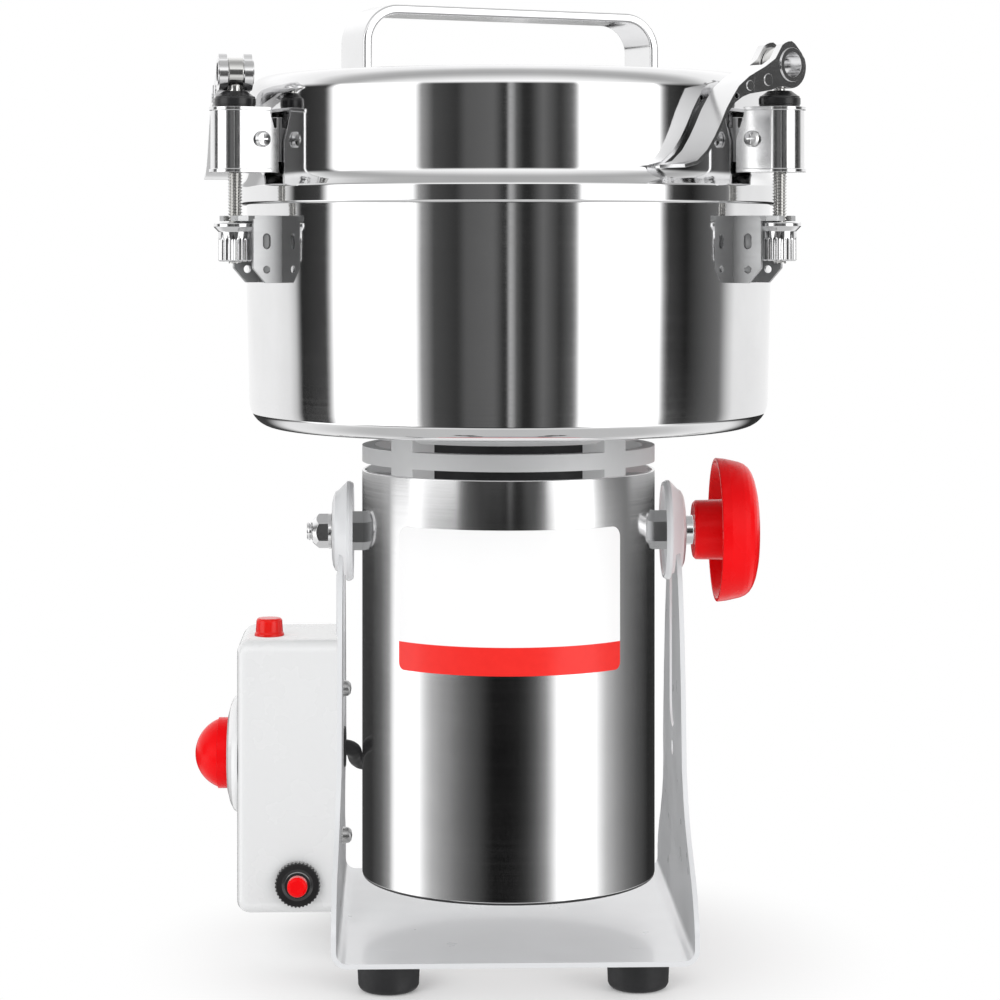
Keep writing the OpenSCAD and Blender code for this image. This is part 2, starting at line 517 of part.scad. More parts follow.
// Pivoting clamp body of bent sheet with the pad that the lever cams press on
module clamp_body(i) at_clamp(i) {
  color([0.8, 0.81, 0.82]) difference() {
    union() {
      translate([0, 0, 333]) linear_extrude(height = 26.6) difference() { d_outline(10, 113.2); d_outline(8.8, 110); }
      translate([0, 0, 333]) linear_extrude(height = 1.4) d_outline(10.6, 116.4);
      translate([0, 0, 358.2]) linear_extrude(height = 1.4) d_outline(10.6, 116.8);
    }
    // inner edge leans back so that the body can tip towards the lid
    translate([0, 15, 0]) rotate([90, 0, 0]) linear_extrude(height = 30) polygon([[105, 346], [113.2, 346], [116.8, 357], [116.8, 362], [105, 362]]);
    zcyl(3.05, 330, 362, rod_r, 0);
    ycyl(1.82, -12, 12, pivot_r, pivot_z);
  }
  color([0.05, 0.05, 0.055]) translate([rod_r, 0, 0]) zlathe([[2.5, 359.62], [8.3, 359.62], [8.5, 360], [8.5, 363.4], [8.2, 363.8], [4.6, 366.2], [2.5, 366.2]]);
}

// The second clamp is screwed down further and has a smaller cam
function pin_h(i) = i == 1 ? pin_z - 2.6 : pin_z;
function eye_s(i) = i == 1 ? 0.78 : 1;
module rod_eye(i) at_clamp(i) translate([rod_r, 0, pin_h(i)]) rotate([0, 0, -18]) children();

// Threaded rod with a flat eye at its top
module clamp_rod(i) color([0.78, 0.79, 0.8]) difference() {
  union() {
    at_clamp(i) { zcyl(rod_d2, 296, 358.4, rod_r, 0); zcyl(2.4, 358, pin_h(i) - 6.8 * eye_s(i), rod_r, 0); }
    rod_eye(i) xcyl(7.6 * eye_s(i), -3.1, 3.1);
  }
  rod_eye(i) xcyl(6.1 * eye_s(i), -10, 10);
}

// Knurled nut whose flange hooks under the ledge
module knurled_nut(i) color([0.82, 0.83, 0.84]) at_clamp(i) translate([rod_r, 0, i == 1 ? -0.25 : 0]) difference() {
  zlathe([[3.0, 297], [6.5, 297], [6.9, 297.6], [6.9, 309], [8.3, 310.6], [8.75, 311], [8.75, 312.3], [8.4, 312.85], [3.0, 312.85]]);
  for (a = [0:20:340]) rotate([0, 0, a]) translate([7.3, 0, 296]) cylinder(r = 0.75, h = 10, $fn = 8);
}

function lever_up(e) = concat([for (a = [150:-12:54]) let (r = a > 120 ? 7.7 : 9.6 - max(0, a - 90) * (e < 1 ? 0.09 : 0.063)) e * r * [cos(a), sin(a)]],
  [e < 1 ? [8.2, 1.4] : [9.6, 2.2], [15.8, -1.4], [25, -5.5], [31, -9.6], [34.8, -14.2], [38.2, -18.8], [41.8, -25], [45, -30], [49.2, -35.4], [54.8, -39.7], [61.6, -41.2]]);
function lever_low(e) = concat([[61.4, -42.6], [54.4, -41.2], [48.2, -36.8], [43.6, -31], [40.2, -25.6], [37, -20.4], [33.2, -16.4], [29, -14], [24.7, -12.6]],
  e < 1 ? [[17.2, -10.8], [11, -9.2], [7, -7.8], [4, -7.3]] : [[17.2, -11.5], [12, -10.7], [7.6, -9.2], [4.4, -9]]);
function lever_cam(e) = [for (a = [-90:-10:-200]) e * (9.6 - 2 * (-90 - a) / 150) * [cos(a), sin(a)]];
module lever_2d(i) let (e = eye_s(i)) polygon(concat(lever_up(e), lever_low(e), lever_cam(e)));
// 2D points [s, z] stand in the plane that leads away from the pin along the lever
module lever_plate(w) rotate([90, 0, -90]) translate([0, 0, -w / 2]) linear_extrude(height = w) children();

module cam_lever(i) color([0.8, 0.81, 0.82]) rod_eye(i) {
  difference() {
    union() {
      lever_plate(13.6) intersection() { lever_2d(i); translate([-12, -30]) square([36, 60]); }
      lever_plate(lever_w) intersection() { lever_2d(i); translate([22, -60]) square([60, 80]); }
      // raised pressings on both cheeks
      for (s = [-1, 1]) {
        xcyl(2.4, s > 0 ? 6 : -7.1, s > 0 ? 7.1 : -6, -13.9, -6.6);
        xcyl(2, s > 0 ? 6 : -7.3, s > 0 ? 7.3 : -6, -24.7, -9.3);
      }
    }
    box([-3.4, -14, -14], [3.4, 11, 12]);
    xcyl(6.02 * eye_s(i), -10, 10);
    xcyl(1.1, -10, 10, -32.2, -13.7);
  }
  // hollow pin with rolled rims
  difference() {
    union() { xcyl(6 * eye_s(i), -7.3, 7.3); for (s = [-1, 1]) xcyl(6.9 * eye_s(i), s > 0 ? 6.82 : -7.3, s > 0 ? 7.3 : -6.82); }
    xcyl(5 * eye_s(i), -9, 9);
  }
}

cradle();
rubber_feet();
union() { foot_screws(); box_screws(); }  // frame_screws
control_box();
switch_bezel();
switch_body();
breaker_body();
breaker_nut();
indicator_lens();
cord_gland();
lead_grommet();
union() { power_button(); power_button_stem(); }
reset_button();
motor_sleeve();
label_plate();
bottom_cover();
lower_end_bell();
end_bell_screws();
neck_casting();
neck_collar();
motor_bearings();
union() { stator_core(); stator_poles(); }
field_coils();
union() { brush_holders(); brushes(); }  // brush_gear
bowl();
bowl_brackets();
shaft_seal();
trunnion_blocks();
pivot_bolt();
pivot_ring();
hex_spacer();
pivot_cap_nut();
motor_lead();
lock_knob();
knob_stud();
rotor_shaft();
armature();
commutator();
cooling_fan();
lower_blade();
blade_spacer();
upper_blade();
blade_nut();
lid_shell();
lid_gasket();
lid_handle();
clamp_ears();
ear_screws();
clamp_body(0);  // clamp_body_1
clamp_rod(0);  // clamp_rod_1
knurled_nut(0);  // knurled_nut_1
cam_lever(0);  // cam_lever_1
clamp_body(1);  // clamp_body_2
clamp_rod(1);  // clamp_rod_2
knurled_nut(1);  // knurled_nut_2
cam_lever(1);  // cam_lever_2
clamp_body(2);  // clamp_body_3
clamp_rod(2);  // clamp_rod_3
knurled_nut(2);  // knurled_nut_3
cam_lever(2);  // cam_lever_3
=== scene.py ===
"""Looks of a swing-type powder grinder: polished bowl and lid on a tilting motor in a grey cradle."""
import bpy, bmesh, json, math
from mathutils import Vector, Matrix

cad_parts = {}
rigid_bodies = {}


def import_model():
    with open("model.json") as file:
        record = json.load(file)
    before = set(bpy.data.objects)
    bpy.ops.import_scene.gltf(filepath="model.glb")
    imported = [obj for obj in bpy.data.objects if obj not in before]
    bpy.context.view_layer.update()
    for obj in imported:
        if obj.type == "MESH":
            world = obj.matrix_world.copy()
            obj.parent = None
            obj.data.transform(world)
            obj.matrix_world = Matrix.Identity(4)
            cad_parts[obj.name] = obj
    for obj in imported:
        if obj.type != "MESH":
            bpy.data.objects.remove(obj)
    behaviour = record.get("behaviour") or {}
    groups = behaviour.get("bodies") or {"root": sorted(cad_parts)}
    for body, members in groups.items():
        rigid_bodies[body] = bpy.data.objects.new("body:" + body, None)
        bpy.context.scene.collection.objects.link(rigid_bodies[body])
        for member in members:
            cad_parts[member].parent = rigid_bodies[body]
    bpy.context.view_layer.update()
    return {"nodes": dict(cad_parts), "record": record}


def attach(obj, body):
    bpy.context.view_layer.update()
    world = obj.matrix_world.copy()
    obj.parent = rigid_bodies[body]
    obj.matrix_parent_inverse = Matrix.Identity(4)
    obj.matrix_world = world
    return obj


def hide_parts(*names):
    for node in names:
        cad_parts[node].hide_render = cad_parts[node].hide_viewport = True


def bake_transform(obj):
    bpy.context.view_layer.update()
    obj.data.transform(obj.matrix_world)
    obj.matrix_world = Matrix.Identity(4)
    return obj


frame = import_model()
NODES = frame["nodes"]
RECORD = frame["record"]
NODE_BODY = {n: b for b, ns in RECORD["behaviour"]["bodies"].items() for n in ns}
MM = 0.001
scene = bpy.context.scene
pi, sin, cos, rad = math.pi, math.sin, math.cos, math.radians

# ---------------------------------------------------------------- camera
F_PX = 2790.0
cam_data = bpy.data.cameras.new("camera")
cam_data.sensor_fit = "HORIZONTAL"
cam_data.sensor_width = 36.0
cam_data.lens = F_PX * 36.0 / 1000.0
cam_data.clip_start, cam_data.clip_end = 0.05, 60.0
camera = bpy.data.objects.new("camera", cam_data)
scene.collection.objects.link(camera)
CAM = Vector((-1.2 * sin(rad(2.0)), -1.2 * cos(rad(2.0)), 0.307))
AIM = Vector((-0.00363, 0.0, 0.1936))
# The photograph keeps its uprights parallel: the camera looks level and the frame is shifted down
level = Vector((AIM.x - CAM.x, AIM.y - CAM.y, 0.0))
camera.location = CAM
camera.rotation_euler = level.to_track_quat("-Z", "Y").to_euler()
cam_data.shift_y = (AIM.z - CAM.z) / level.length * F_PX / 1000.0
scene.camera = camera
scene.view_settings.view_transform = "Standard"
scene.view_settings.look = "None"
scene.view_settings.exposure = 0.0

# ---------------------------------------------------------------- materials
class Mat:
    """Small helper around a node tree."""
    def __init__(self, name, color, rough, metallic=0.0, coat=0.0, coat_rough=0.05, ior=1.5, spec=0.5):
        self.m = bpy.data.materials.new(name)
        self.m.use_nodes = True
        self.t = self.m.node_tree
        self.b = self.t.nodes["Principled BSDF"]
        self.b.inputs["Base Color"].default_value = (*color, 1)
        self.b.inputs["Roughness"].default_value = rough
        self.b.inputs["Metallic"].default_value = metallic
        self.b.inputs["Coat Weight"].default_value = coat
        self.b.inputs["Coat Roughness"].default_value = coat_rough
        self.b.inputs["IOR"].default_value = ior
        self.b.inputs["Specular IOR Level"].default_value = spec
        self.color = color
        tc = self.node("ShaderNodeTexCoord")
        self.co = tc.outputs["Object"]
        self.normal = None

    def node(self, kind, **props):
        n = self.t.nodes.new(kind)
        for k, v in props.items():
            setattr(n, k, v)
        return n

    def link(self, a, b):
        self.t.links.new(a, b)

    def mapping(self, scale, rot=(0, 0, 0)):
        n = self.node("ShaderNodeMapping")
        n.inputs["Scale"].default_value = scale
        n.inputs["Rotation"].default_value = rot
        self.link(self.co, n.inputs["Vector"])
        return n.outputs["Vector"]

    def noise(self, scale, detail=3.0, rough=0.5, vec=None, distortion=0.0):
        n = self.node("ShaderNodeTexNoise")
        n.inputs["Scale"].default_value = scale
        n.inputs["Detail"].default_value = detail
        n.inputs["Roughness"].default_value = rough
        n.inputs["Distortion"].default_value = distortion
        self.link(vec if vec is not None else self.co, n.inputs["Vector"])
        return n.outputs["Fac"]

    def range(self, value, lo, hi, fmin=0.3, fmax=0.7):
        n = self.node("ShaderNodeMapRange")
        n.inputs["From Min"].default_value = fmin
        n.inputs["From Max"].default_value = fmax
        n.inputs["To Min"].default_value = lo
        n.inputs["To Max"].default_value = hi
        self.link(value, n.inputs["Value"])
        return n.outputs["Result"]

    def rough_from(self, value, lo, hi, fmin=0.3, fmax=0.7):
        self.link(self.range(value, lo, hi, fmin, fmax), self.b.inputs["Roughness"])

    def math(self, op, a, b):
        n = self.node("ShaderNodeMath", operation=op)
        for i, v in enumerate((a, b)):
            if isinstance(v, (int, float)):
                n.inputs[i].default_value = v
            else:
                self.link(v, n.inputs[i])
        return n.outputs["Value"]

    def mix(self, fac, c1, c2):
        n = self.node("ShaderNodeMix", data_type="RGBA")
        self.link(fac, n.inputs[0])
        for v, s in ((c1, n.inputs[6]), (c2, n.inputs[7])):
            if isinstance(v, tuple):
                s.default_value = (*v, 1)
            else:
                self.link(v, s)
        return n.outputs[2]

    def vary(self, value, c1, c2, fmin=0.3, fmax=0.7):
        out = self.mix(self.range(value, 0, 1, fmin, fmax), c1, c2)
        self.link(out, self.b.inputs["Base Color"])
        return out

    def bump(self, value, strength, distance):
        n = self.node("ShaderNodeBump")
        n.inputs["Strength"].default_value = strength
        n.inputs["Distance"].default_value = distance
        self.link(value, n.inputs["Height"])
        if self.normal is not None:
            self.link(self.normal, n.inputs["Normal"])
        self.normal = n.outputs["Normal"]
        self.link(self.normal, self.b.inputs["Normal"])


def paint(name, c, speck=0.03, rough=0.32, coat=0.35):
    m = Mat(name, c, rough, coat=coat, coat_rough=0.10)
    soft = m.noise(9, 2)
    m.vary(soft, tuple(v * (1 - speck) for v in c), tuple(min(1, v * (1 + speck * 0.5)) for v in c))
    m.rough_from(m.noise(60, 3), rough - 0.05, rough + 0.08)
    m.bump(m.noise(620, 2, 0.6), 0.10, 0.0002)
    m.bump(m.noise(45, 2), 0.012, 0.0006)
    return m.m


def steel(name, c, rough, lines=(6, 6, 1400), line_bump=0.03, wave=0.035, smear=0.04):
    m = Mat(name, c, rough, metallic=1.0)
    streak = m.noise(1.0, 3, 0.6, m.mapping(lines))
    cloud = m.noise(28, 4, 0.6)
    m.vary(cloud, tuple(v * 0.955 for v in c), tuple(min(1, v * 1.02) for v in c))
    m.rough_from(m.math("ADD", m.math("MULTIPLY", streak, 0.6), m.math("MULTIPLY", cloud, 0.4)), rough - smear * 0.5, rough + smear)
    if line_bump:
        m.bump(streak, line_bump, 0.00006)
    if wave:
        m.bump(m.noise(16, 1, 0.4), wave, 0.0022)
    return m.m


def cast(name, c, rough=0.55):
    m = Mat(name, c, rough, metallic=0.35, spec=0.4)
    m.vary(m.noise(60, 3), tuple(v * 0.98 for v in c), tuple(min(1, v * 1.02) for v in c))
    m.rough_from(m.noise(140, 3), rough - 0.04, rough + 0.06)
    m.bump(m.noise(700, 2, 0.6), 0.06, 0.0001)
    return m.m


def plastic(name, c, rough, coat=0.5, grain=900, bump=0.05, vary=0.06, sss=0.0, spec=0.5):
    m = Mat(name, c, rough, coat=coat, coat_rough=0.06, spec=spec)
    m.vary(m.noise(26, 3), tuple(v * (1 - vary) for v in c), tuple(min(1, v * (1 + vary)) for v in c))
    m.rough_from(m.noise(90, 3), max(0.04, rough - 0.05), rough + 0.06)
    m.bump(m.noise(grain, 2, 0.6), bump, 0.00012)
    if sss:
        m.b.inputs["Subsurface Weight"].default_value = sss
        m.b.inputs["Subsurface Scale"].default_value = 0.004
        m.b.inputs["Subsurface Radius"].default_value = (1.0, 0.2, 0.1)
    return m.m


def rubber(name, c=(0.012, 0.012, 0.013), rough=0.55):
    m = Mat(name, c, rough, spec=0.4)
    m.vary(m.noise(40, 4, 0.6), tuple(v * 0.7 for v in c), tuple(v * 1.6 for v in c))
    m.rough_from(m.noise(150, 4), rough - 0.1, rough + 0.12)
    m.bump(m.noise(1100, 3, 0.7), 0.18, 0.0002)
    return m.m


def label_mat():
    m = Mat("label_print", (0.86, 0.86, 0.86), 0.3, coat=0.25, coat_rough=0.1, spec=0.3)
    sep = m.node("ShaderNodeSeparateXYZ")
    m.link(m.co, sep.inputs[0])
    red = m.range(sep.outputs["Z"], 1.0, 0.0, 0.1392, 0.1394)
    tone = m.mix(m.range(m.noise(70, 3), 0, 1), (0.908, 0.908, 0.91), (0.912, 0.912, 0.912))
    ink = m.mix(m.range(m.noise(240, 3), 0, 1), (0.84, 0.018, 0.013), (0.88, 0.021, 0.015))
    m.link(m.mix(red, tone, ink), m.b.inputs["Base Color"])
    m.rough_from(m.noise(120, 3), 0.29, 0.31)
    m.bump(m.noise(800, 2), 0.05, 0.0001)
    return m.m


def lamination():
    m = Mat("core_laminations", (0.18, 0.18, 0.19), 0.5, metallic=0.7)
    layers = m.noise(1.0, 1, 0.5, m.mapping((2, 2, 1900)))
    m.vary(layers, (0.10, 0.10, 0.11), (0.26, 0.26, 0.27))
    m.rough_from(layers, 0.4, 0.6)
    m.bump(layers, 0.4, 0.0002)
    return m.m


def winding(name, c):
    m = Mat(name, c, 0.35, metallic=0.8)
    wires = m.noise(1.0, 2, 0.5, m.mapping((900, 900, 40)))
    m.vary(wires, tuple(v * 0.6 for v in c), c)
    m.rough_from(wires, 0.28, 0.45)
    m.bump(wires, 0.5, 0.0004)
    return m.m


M = {
    "painted_frame": paint("frame_enamel", (0.72, 0.73, 0.745), 0.008),
    "painted_box": paint("box_enamel", (0.77, 0.775, 0.78), 0.006, 0.24, 0.7),
    "black_rubber": rubber("black_rubber"),
    "screw_steel": steel("zinc_steel", (0.50, 0.50, 0.50), 0.30, (500, 500, 500), 0.05, 0.0, 0.08),
    "white_plastic": plastic("white_plastic", (0.83, 0.835, 0.84), 0.25, vary=0.02),
    "black_plastic": plastic("black_plastic", (0.014, 0.014, 0.015), 0.34, coat=0.15, vary=0.3, bump=0.12),
    "red_plastic": plastic("red_plastic", (0.86, 0.0005, 0.003), 0.26, coat=0.06, vary=0.02, spec=0.12),
    "red_lens": plastic("red_lens", (0.80, 0.004, 0.001), 0.20, coat=0.12, vary=0.04, sss=0.3, spec=0.4),
    "polished_steel": steel("polished_steel", (0.80, 0.80, 0.805), 0.06, wave=0.016, smear=0.03),
    "satin_steel": steel("satin_steel", (0.60, 0.60, 0.605), 0.30, (40, 40, 900), 0.10, 0.0, 0.10),
    "cast_aluminium": cast("turned_aluminium", (0.62, 0.625, 0.63)),
    "core_steel": lamination(),
    "copper": winding("enamelled_copper", (0.62, 0.25, 0.09)),
    "brass": steel("brass_parts", (0.62, 0.45, 0.17), 0.32, (300, 300, 300), 0.05, 0.0, 0.1),
    "silicone": rubber("white_silicone", (0.62, 0.62, 0.60), 0.45),
}
M["label"] = label_mat()
M["satin_bowl"] = cast("satin_bowl_edge", (0.84, 0.84, 0.845), 0.5)
M["satin_bowl"].node_tree.nodes["Principled BSDF"].inputs["Metallic"].default_value = 0.0
M["satin_bowl"].node_tree.nodes["Principled BSDF"].inputs["Specular IOR Level"].default_value = 0.03
M["sleeve_steel"] = steel("sleeve_steel", (0.78, 0.78, 0.785), 0.12, (5, 5, 1600), 0.03, 0.012, 0.04)
M["thread_steel"] = steel("thread_steel", (0.72, 0.715, 0.70), 0.14, (200, 200, 200), 0.03, 0.0, 0.06)
M["small_chrome"] = steel("small_chrome", (0.86, 0.86, 0.865), 0.15, (120, 120, 300), 0.02, 0.0, 0.06)
M["satin_plate"] = steel("satin_plate", (0.58, 0.585, 0.59), 0.34, (60, 60, 700), 0.05, 0.0, 0.08)
# painted shade: this dark grey paint on the inner channel faces of the arms stands in for the shade in the pressed
# channels
M["painted_channel_shade"] = paint("painted_channel_shade", (0.16, 0.165, 0.17), 0.05, 0.42)
M["neck_black"] = M["black_plastic"]
# painted shade: this dark steel in the thread valleys of the clamp rods stands in for the shade between the thread
# crests
M["thread_dark"] = steel("painted_valley_shade", (0.12, 0.12, 0.118), 0.4, (200, 200, 200), 0.03, 0.0, 0.06)
M["spacer_steel"] = steel("spacer_steel", (0.44, 0.445, 0.45), 0.28, (80, 80, 80), 0.04, 0.0, 0.06)
M["screw_dark"] = steel("screw_dark", (0.07, 0.07, 0.07), 0.40, (300, 300, 300), 0.05, 0.0, 0.06)

SLOT = {s["node"]: s["material_slot"] for s in RECORD["subparts"]}
for n, o in NODES.items():
    mat = M[SLOT[n]]
    if not o.material_slots:
        o.data.materials.append(mat)
    for s in o.material_slots:
        s.material = mat

# ---------------------------------------------------------------- mesh helpers

def even_normals(me, level=None):
    """Flat faces keep their own normal and the narrow strips beside them take it over at the shared edge."""
    bm = bmesh.new()
    bm.from_mesh(me)
    bm.faces.ensure_lookup_table()
    starts = [p.loop_start for p in me.polygons]
    area = [f.calc_area() ** 2 for f in bm.faces]
    out = [None] * len(me.loops)
    for v in bm.verts:
        left = set(v.link_faces)
        while left:
            first = min(left, key=lambda f: f.index)
            left.discard(first)
            group, stack = [first], [first]
            while stack:
                f = stack.pop()
                for e in f.edges:
                    if v in e.verts and e.smooth:
                        for g in e.link_faces:
                            if g in left:
                                left.discard(g)
                                group.append(g)
                                stack.append(g)
            n = Vector((0.0, 0.0, 0.0))
            for f in group:
                n += f.normal * area[f.index]
            n = n.normalized() if n.length > 0 else first.normal
            for f in group:
                for k, lp in enumerate(f.loops):
                    if lp.vert is v:
                        out[starts[f.index] + k] = tuple(n)
    bm.free()
    if level:
        for k, lp in enumerate(me.loops):
            co = me.vertices[lp.vertex_index].co
            if out[k] and level[0] <= co.z <= level[1] and math.hypot(co.x, co.y) > level[2]:
                flat = Vector((out[k][0], out[k][1], 0.0))
                if flat.length > 0.85:
                    out[k] = tuple(flat.normalized())
    me.normals_split_custom_set([n or (0.0, 0.0, 1.0) for n in out])


def finish_mesh(name, bm, mat, node, body=None, replace=(), sharp=32.0, even=True, level=None):
    """Turns a bmesh into a piece that rides on the node's body."""
    bmesh.ops.recalc_face_normals(bm, faces=bm.faces[:])
    me = bpy.data.meshes.new(name)
    bm.to_mesh(me)
    bm.free()
    for a in ("custom_normal",):
        if a in me.attributes:
            me.attributes.remove(me.attributes[a])
    me.shade_smooth()
    me.set_sharp_from_angle(angle=rad(sharp))
    if even:
        even_normals(me, level)
    me.materials.clear()
    for m in (mat if isinstance(mat, (list, tuple)) else [mat]):
        me.materials.append(m)
    ob = bpy.data.objects.new(name, me)
    scene.collection.objects.link(ob)
    if replace:
        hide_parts(*replace)
    if body is not False:
        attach(ob, body or NODE_BODY[node])
    return ob


def lathe(bm, prof, segs=192, axis="Z", at=(0, 0, 0), wobble=None, closed=True):
    """Turns [radius, height] points in mm about an axis through at."""
    rings = []
    ax = {"X": lambda r, h, a: (h, r * cos(a), r * sin(a)), "Y": lambda r, h, a: (r * sin(a), h, r * cos(a)), "Z": lambda r, h, a: (r * cos(a), r * sin(a), h)}[axis]
    for r, h in prof:
        if r < 1e-6:
            v = bm.verts.new([(p + q) * MM for p, q in zip(ax(0, h, 0), at)])
            rings.append([v])
        else:
            ring = []
            for k in range(segs):
                a = 2 * pi * k / segs
                rr = wobble(r, h, a) if wobble else r
                ring.append(bm.verts.new([(p + q) * MM for p, q in zip(ax(rr, h, a), at)]))
            rings.append(ring)
    pairs = list(zip(rings, rings[1:] + ([rings[0]] if closed and prof[0] != prof[-1] and not (prof[0][0] < 1e-6 and prof[-1][0] < 1e-6) else [])))
    for A, B in pairs:
        if A is B or (len(A) == 1 and len(B) == 1):
            continue
        n = max(len(A), len(B))
        for k in range(n):
            q = [A[k % len(A)], A[(k + 1) % len(A)], B[(k + 1) % len(B)], B[k % len(B)]]
            u = []
            for v in q:
                if v not in u:
                    u.append(v)
            if len(u) >= 3:
                bm.faces.new(u)


def fillet(pts, radii, n=6, closed=False):
    """Rounds the corners of a polyline with the given radii."""
    out = []
    m = len(pts)
    for i, p in enumerate(pts):
        r = radii[i] if isinstance(radii, (list, tuple)) else radii
        if r <= 0 or (not closed and i in (0, m - 1)):
            out.append(tuple(p))
            continue
        a, b, c = Vector(pts[i - 1]), Vector(p), Vector(pts[(i + 1) % m])
        u, w = (a - b), (c - b)
        lu, lw = u.length, w.length
        u.normalize(); w.normalize()
        ang = math.acos(max(-1, min(1, u.dot(w))))
        if ang > pi - 0.02:
            out.append(tuple(p))
            continue
        d = min(r / math.tan(ang / 2), lu * 0.49, lw * 0.49)
        rr = d * math.tan(ang / 2)
        cen = b + (u + w).normalized() * (rr / sin(ang / 2))
        s, e = b + u * d - cen, b + w * d - cen
        a0 = math.atan2(s.y, s.x)
        da = math.atan2(e.y, e.x) - a0
        while da > pi: da -= 2 * pi
        while da < -pi: da += 2 * pi
        for k in range(n + 1):
            t = a0 + da * k / n
            out.append((cen.x + rr * cos(t), cen.y + rr * sin(t)))
    return out


def refine(node, bevel=0.3, segs=2, angle=30.0, mat=None, name=None, keep=None, replace=True, sharp=50.0, dissolve=1.2, paint_faces=None):
    """A copy of the CAD shape with softened edges. keep(centre_mm, size_mm) picks solids."""
    bm = bmesh.new()
    bm.from_mesh(NODES[node].data)
    bmesh.ops.remove_doubles(bm, verts=bm.verts[:], dist=2e-6)
    if keep:
        seen, drop = set(), []
        bm.verts.ensure_lookup_table()
        for v0 in bm.verts:
            if v0 in seen:
                continue
            isle, stack = [], [v0]
            seen.add(v0)
            while stack:
                v = stack.pop()
                isle.append(v)
                for e in v.link_edges:
                    w = e.other_vert(v)
                    if w not in seen:
                        seen.add(w)
                        stack.append(w)
            lo = [min(v.co[i] for v in isle) * 1000 for i in range(3)]
            hi = [max(v.co[i] for v in isle) * 1000 for i in range(3)]
            if not keep([(a + b) / 2 for a, b in zip(lo, hi)], [b - a for a, b in zip(lo, hi)]):
                drop += isle
        bmesh.ops.delete(bm, geom=drop, context="VERTS")
    bmesh.ops.dissolve_limit(bm, angle_limit=rad(dissolve), use_dissolve_boundaries=False, verts=bm.verts[:], edges=bm.edges[:], delimit={"NORMAL"})
    me = bpy.data.meshes.new("tmp")
    bm.to_mesh(me)
    bm.free()
    if "custom_normal" in me.attributes:
        me.attributes.remove(me.attributes["custom_normal"])
    tmp = bpy.data.objects.new("tmp", me)
    scene.collection.objects.link(tmp)
    if bevel:
        b = tmp.modifiers.new("edge", "BEVEL")
        b.width = bevel * MM
        b.segments = segs
        b.limit_method = "ANGLE"
        b.angle_limit = rad(angle)
        b.use_clamp_overlap = True
        b.miter_outer = "MITER_ARC"
    dg = bpy.context.evaluated_depsgraph_get()
    out = bpy.data.meshes.new_from_object(tmp.evaluated_get(dg))
    bpy.data.objects.remove(tmp)
    bpy.data.meshes.remove(me)
    bm = bmesh.new()
    bm.from_mesh(out)
    bpy.data.meshes.remove(out)
    for f in bm.faces:
        f.material_index = paint_faces(f.calc_center_median() * 1000, f.normal) if paint_faces else 0
    return finish_mesh(name or node + "_finished", bm, mat or M[SLOT[node]], node, replace=(node,) if replace else (), sharp=sharp, even=True)


def arc(cx, cy, r, a0, a1, n=10):
    return [(cx + r * cos(rad(a0 + (a1 - a0) * i / n)), cy + r * sin(rad(a0 + (a1 - a0) * i / n))) for i in range(n + 1)]


CLAMP_A = [-32.5, 207.5, 87.5]
PIN_Z = [0.3765, 0.3739, 0.3765]
AXIS_Z = 180.6


def clamp_matrix(i, eye=False):
    m = Matrix.Rotation(rad(CLAMP_A[i]), 4, "Z")
    if eye:
        m = m @ Matrix.Translation((0.128, 0, PIN_Z[i])) @ Matrix.Rotation(rad(-18), 4, "Z")
    return m

# ---------------------------------------------------------------- bowl, lid and motor sleeve
R, W = 112.2, 1.2
bm = bmesh.new()
prof = ([(13, 226)] + arc(R - 12.2, 237, 11, -90, 0, 14) + [(R, 287), (R, 300), (R, 319)] + arc(R + 2.0, 320.2, 2.0, 180, 120, 4)[1:]
        + arc(R + 0.7, 323.6, 1.0, 0, 90, 5) + arc(R - 0.2, 323.6, 1.0, 90, 180, 5) + [(R - W, 318), (R - W, 287)]
        + arc(R - 12.2, 237, 11 - W, 0, -90, 12) + [(24, 226 + W), (22.6, 230.4), (22, 231), (13, 231)])
lathe(bm, prof, 256)
for f in bm.faces:
    c = f.calc_center_median()
    r = math.hypot(c.x, c.y) * 1000
    f.material_index = 1 if c.z < 0.2328 and r > 60 and f.normal.z < 0.95 else 0
bowl = finish_mesh("bowl_turned", bm, [M["polished_steel"], M["satin_bowl"]], "bowl", replace=("bowl",), level=(0.2322, 0.3195, 0.1070))

bm = bmesh.new()
prof = ([(0, 374.5)] + [(60, 374.5)] + arc(R - 8.5, 366, 8.5, 90, 0, 14) + [(R, 345), (R, 334.6)]
        + arc(R + 7.5, 334.6, 7.5, 180, 218, 9)[1:] + arc(113.6, 327.13, 1.9, 38, 0, 5) + [(115.5, 326.6), (115.5, 322.4), (115.5, 321.4)]
        + arc(114.5, 321.4, 1.0, 0, -90, 5) + [(114.3, 320.6), (114.1, 321.0), (114.1, 327.9), (R - W, 332.4), (R - W, 345)] + arc(R - 8.5, 366, 8.5 - W, 0, 90, 10) + [(0, 374.5 - W)])
lathe(bm, prof, 256)
lid = finish_mesh("lid_turned", bm, M["polished_steel"], "lid_shell", replace=("lid_shell",))

bm = bmesh.new()
S = 62.8
prof = fillet([(S, 34.8), (S, 60), (S, 120), (S, 180), (S, 207.4), (S - 1.2, 207.4), (S - 1.2, 34.8)], [0.5, 0, 0, 0, 0.5, 0.5, 0.5], 4, closed=True)
lathe(bm, prof, 224)
sleeve = finish_mesh("motor_sleeve_turned", bm, M["sleeve_steel"], "motor_sleeve", replace=("motor_sleeve",))

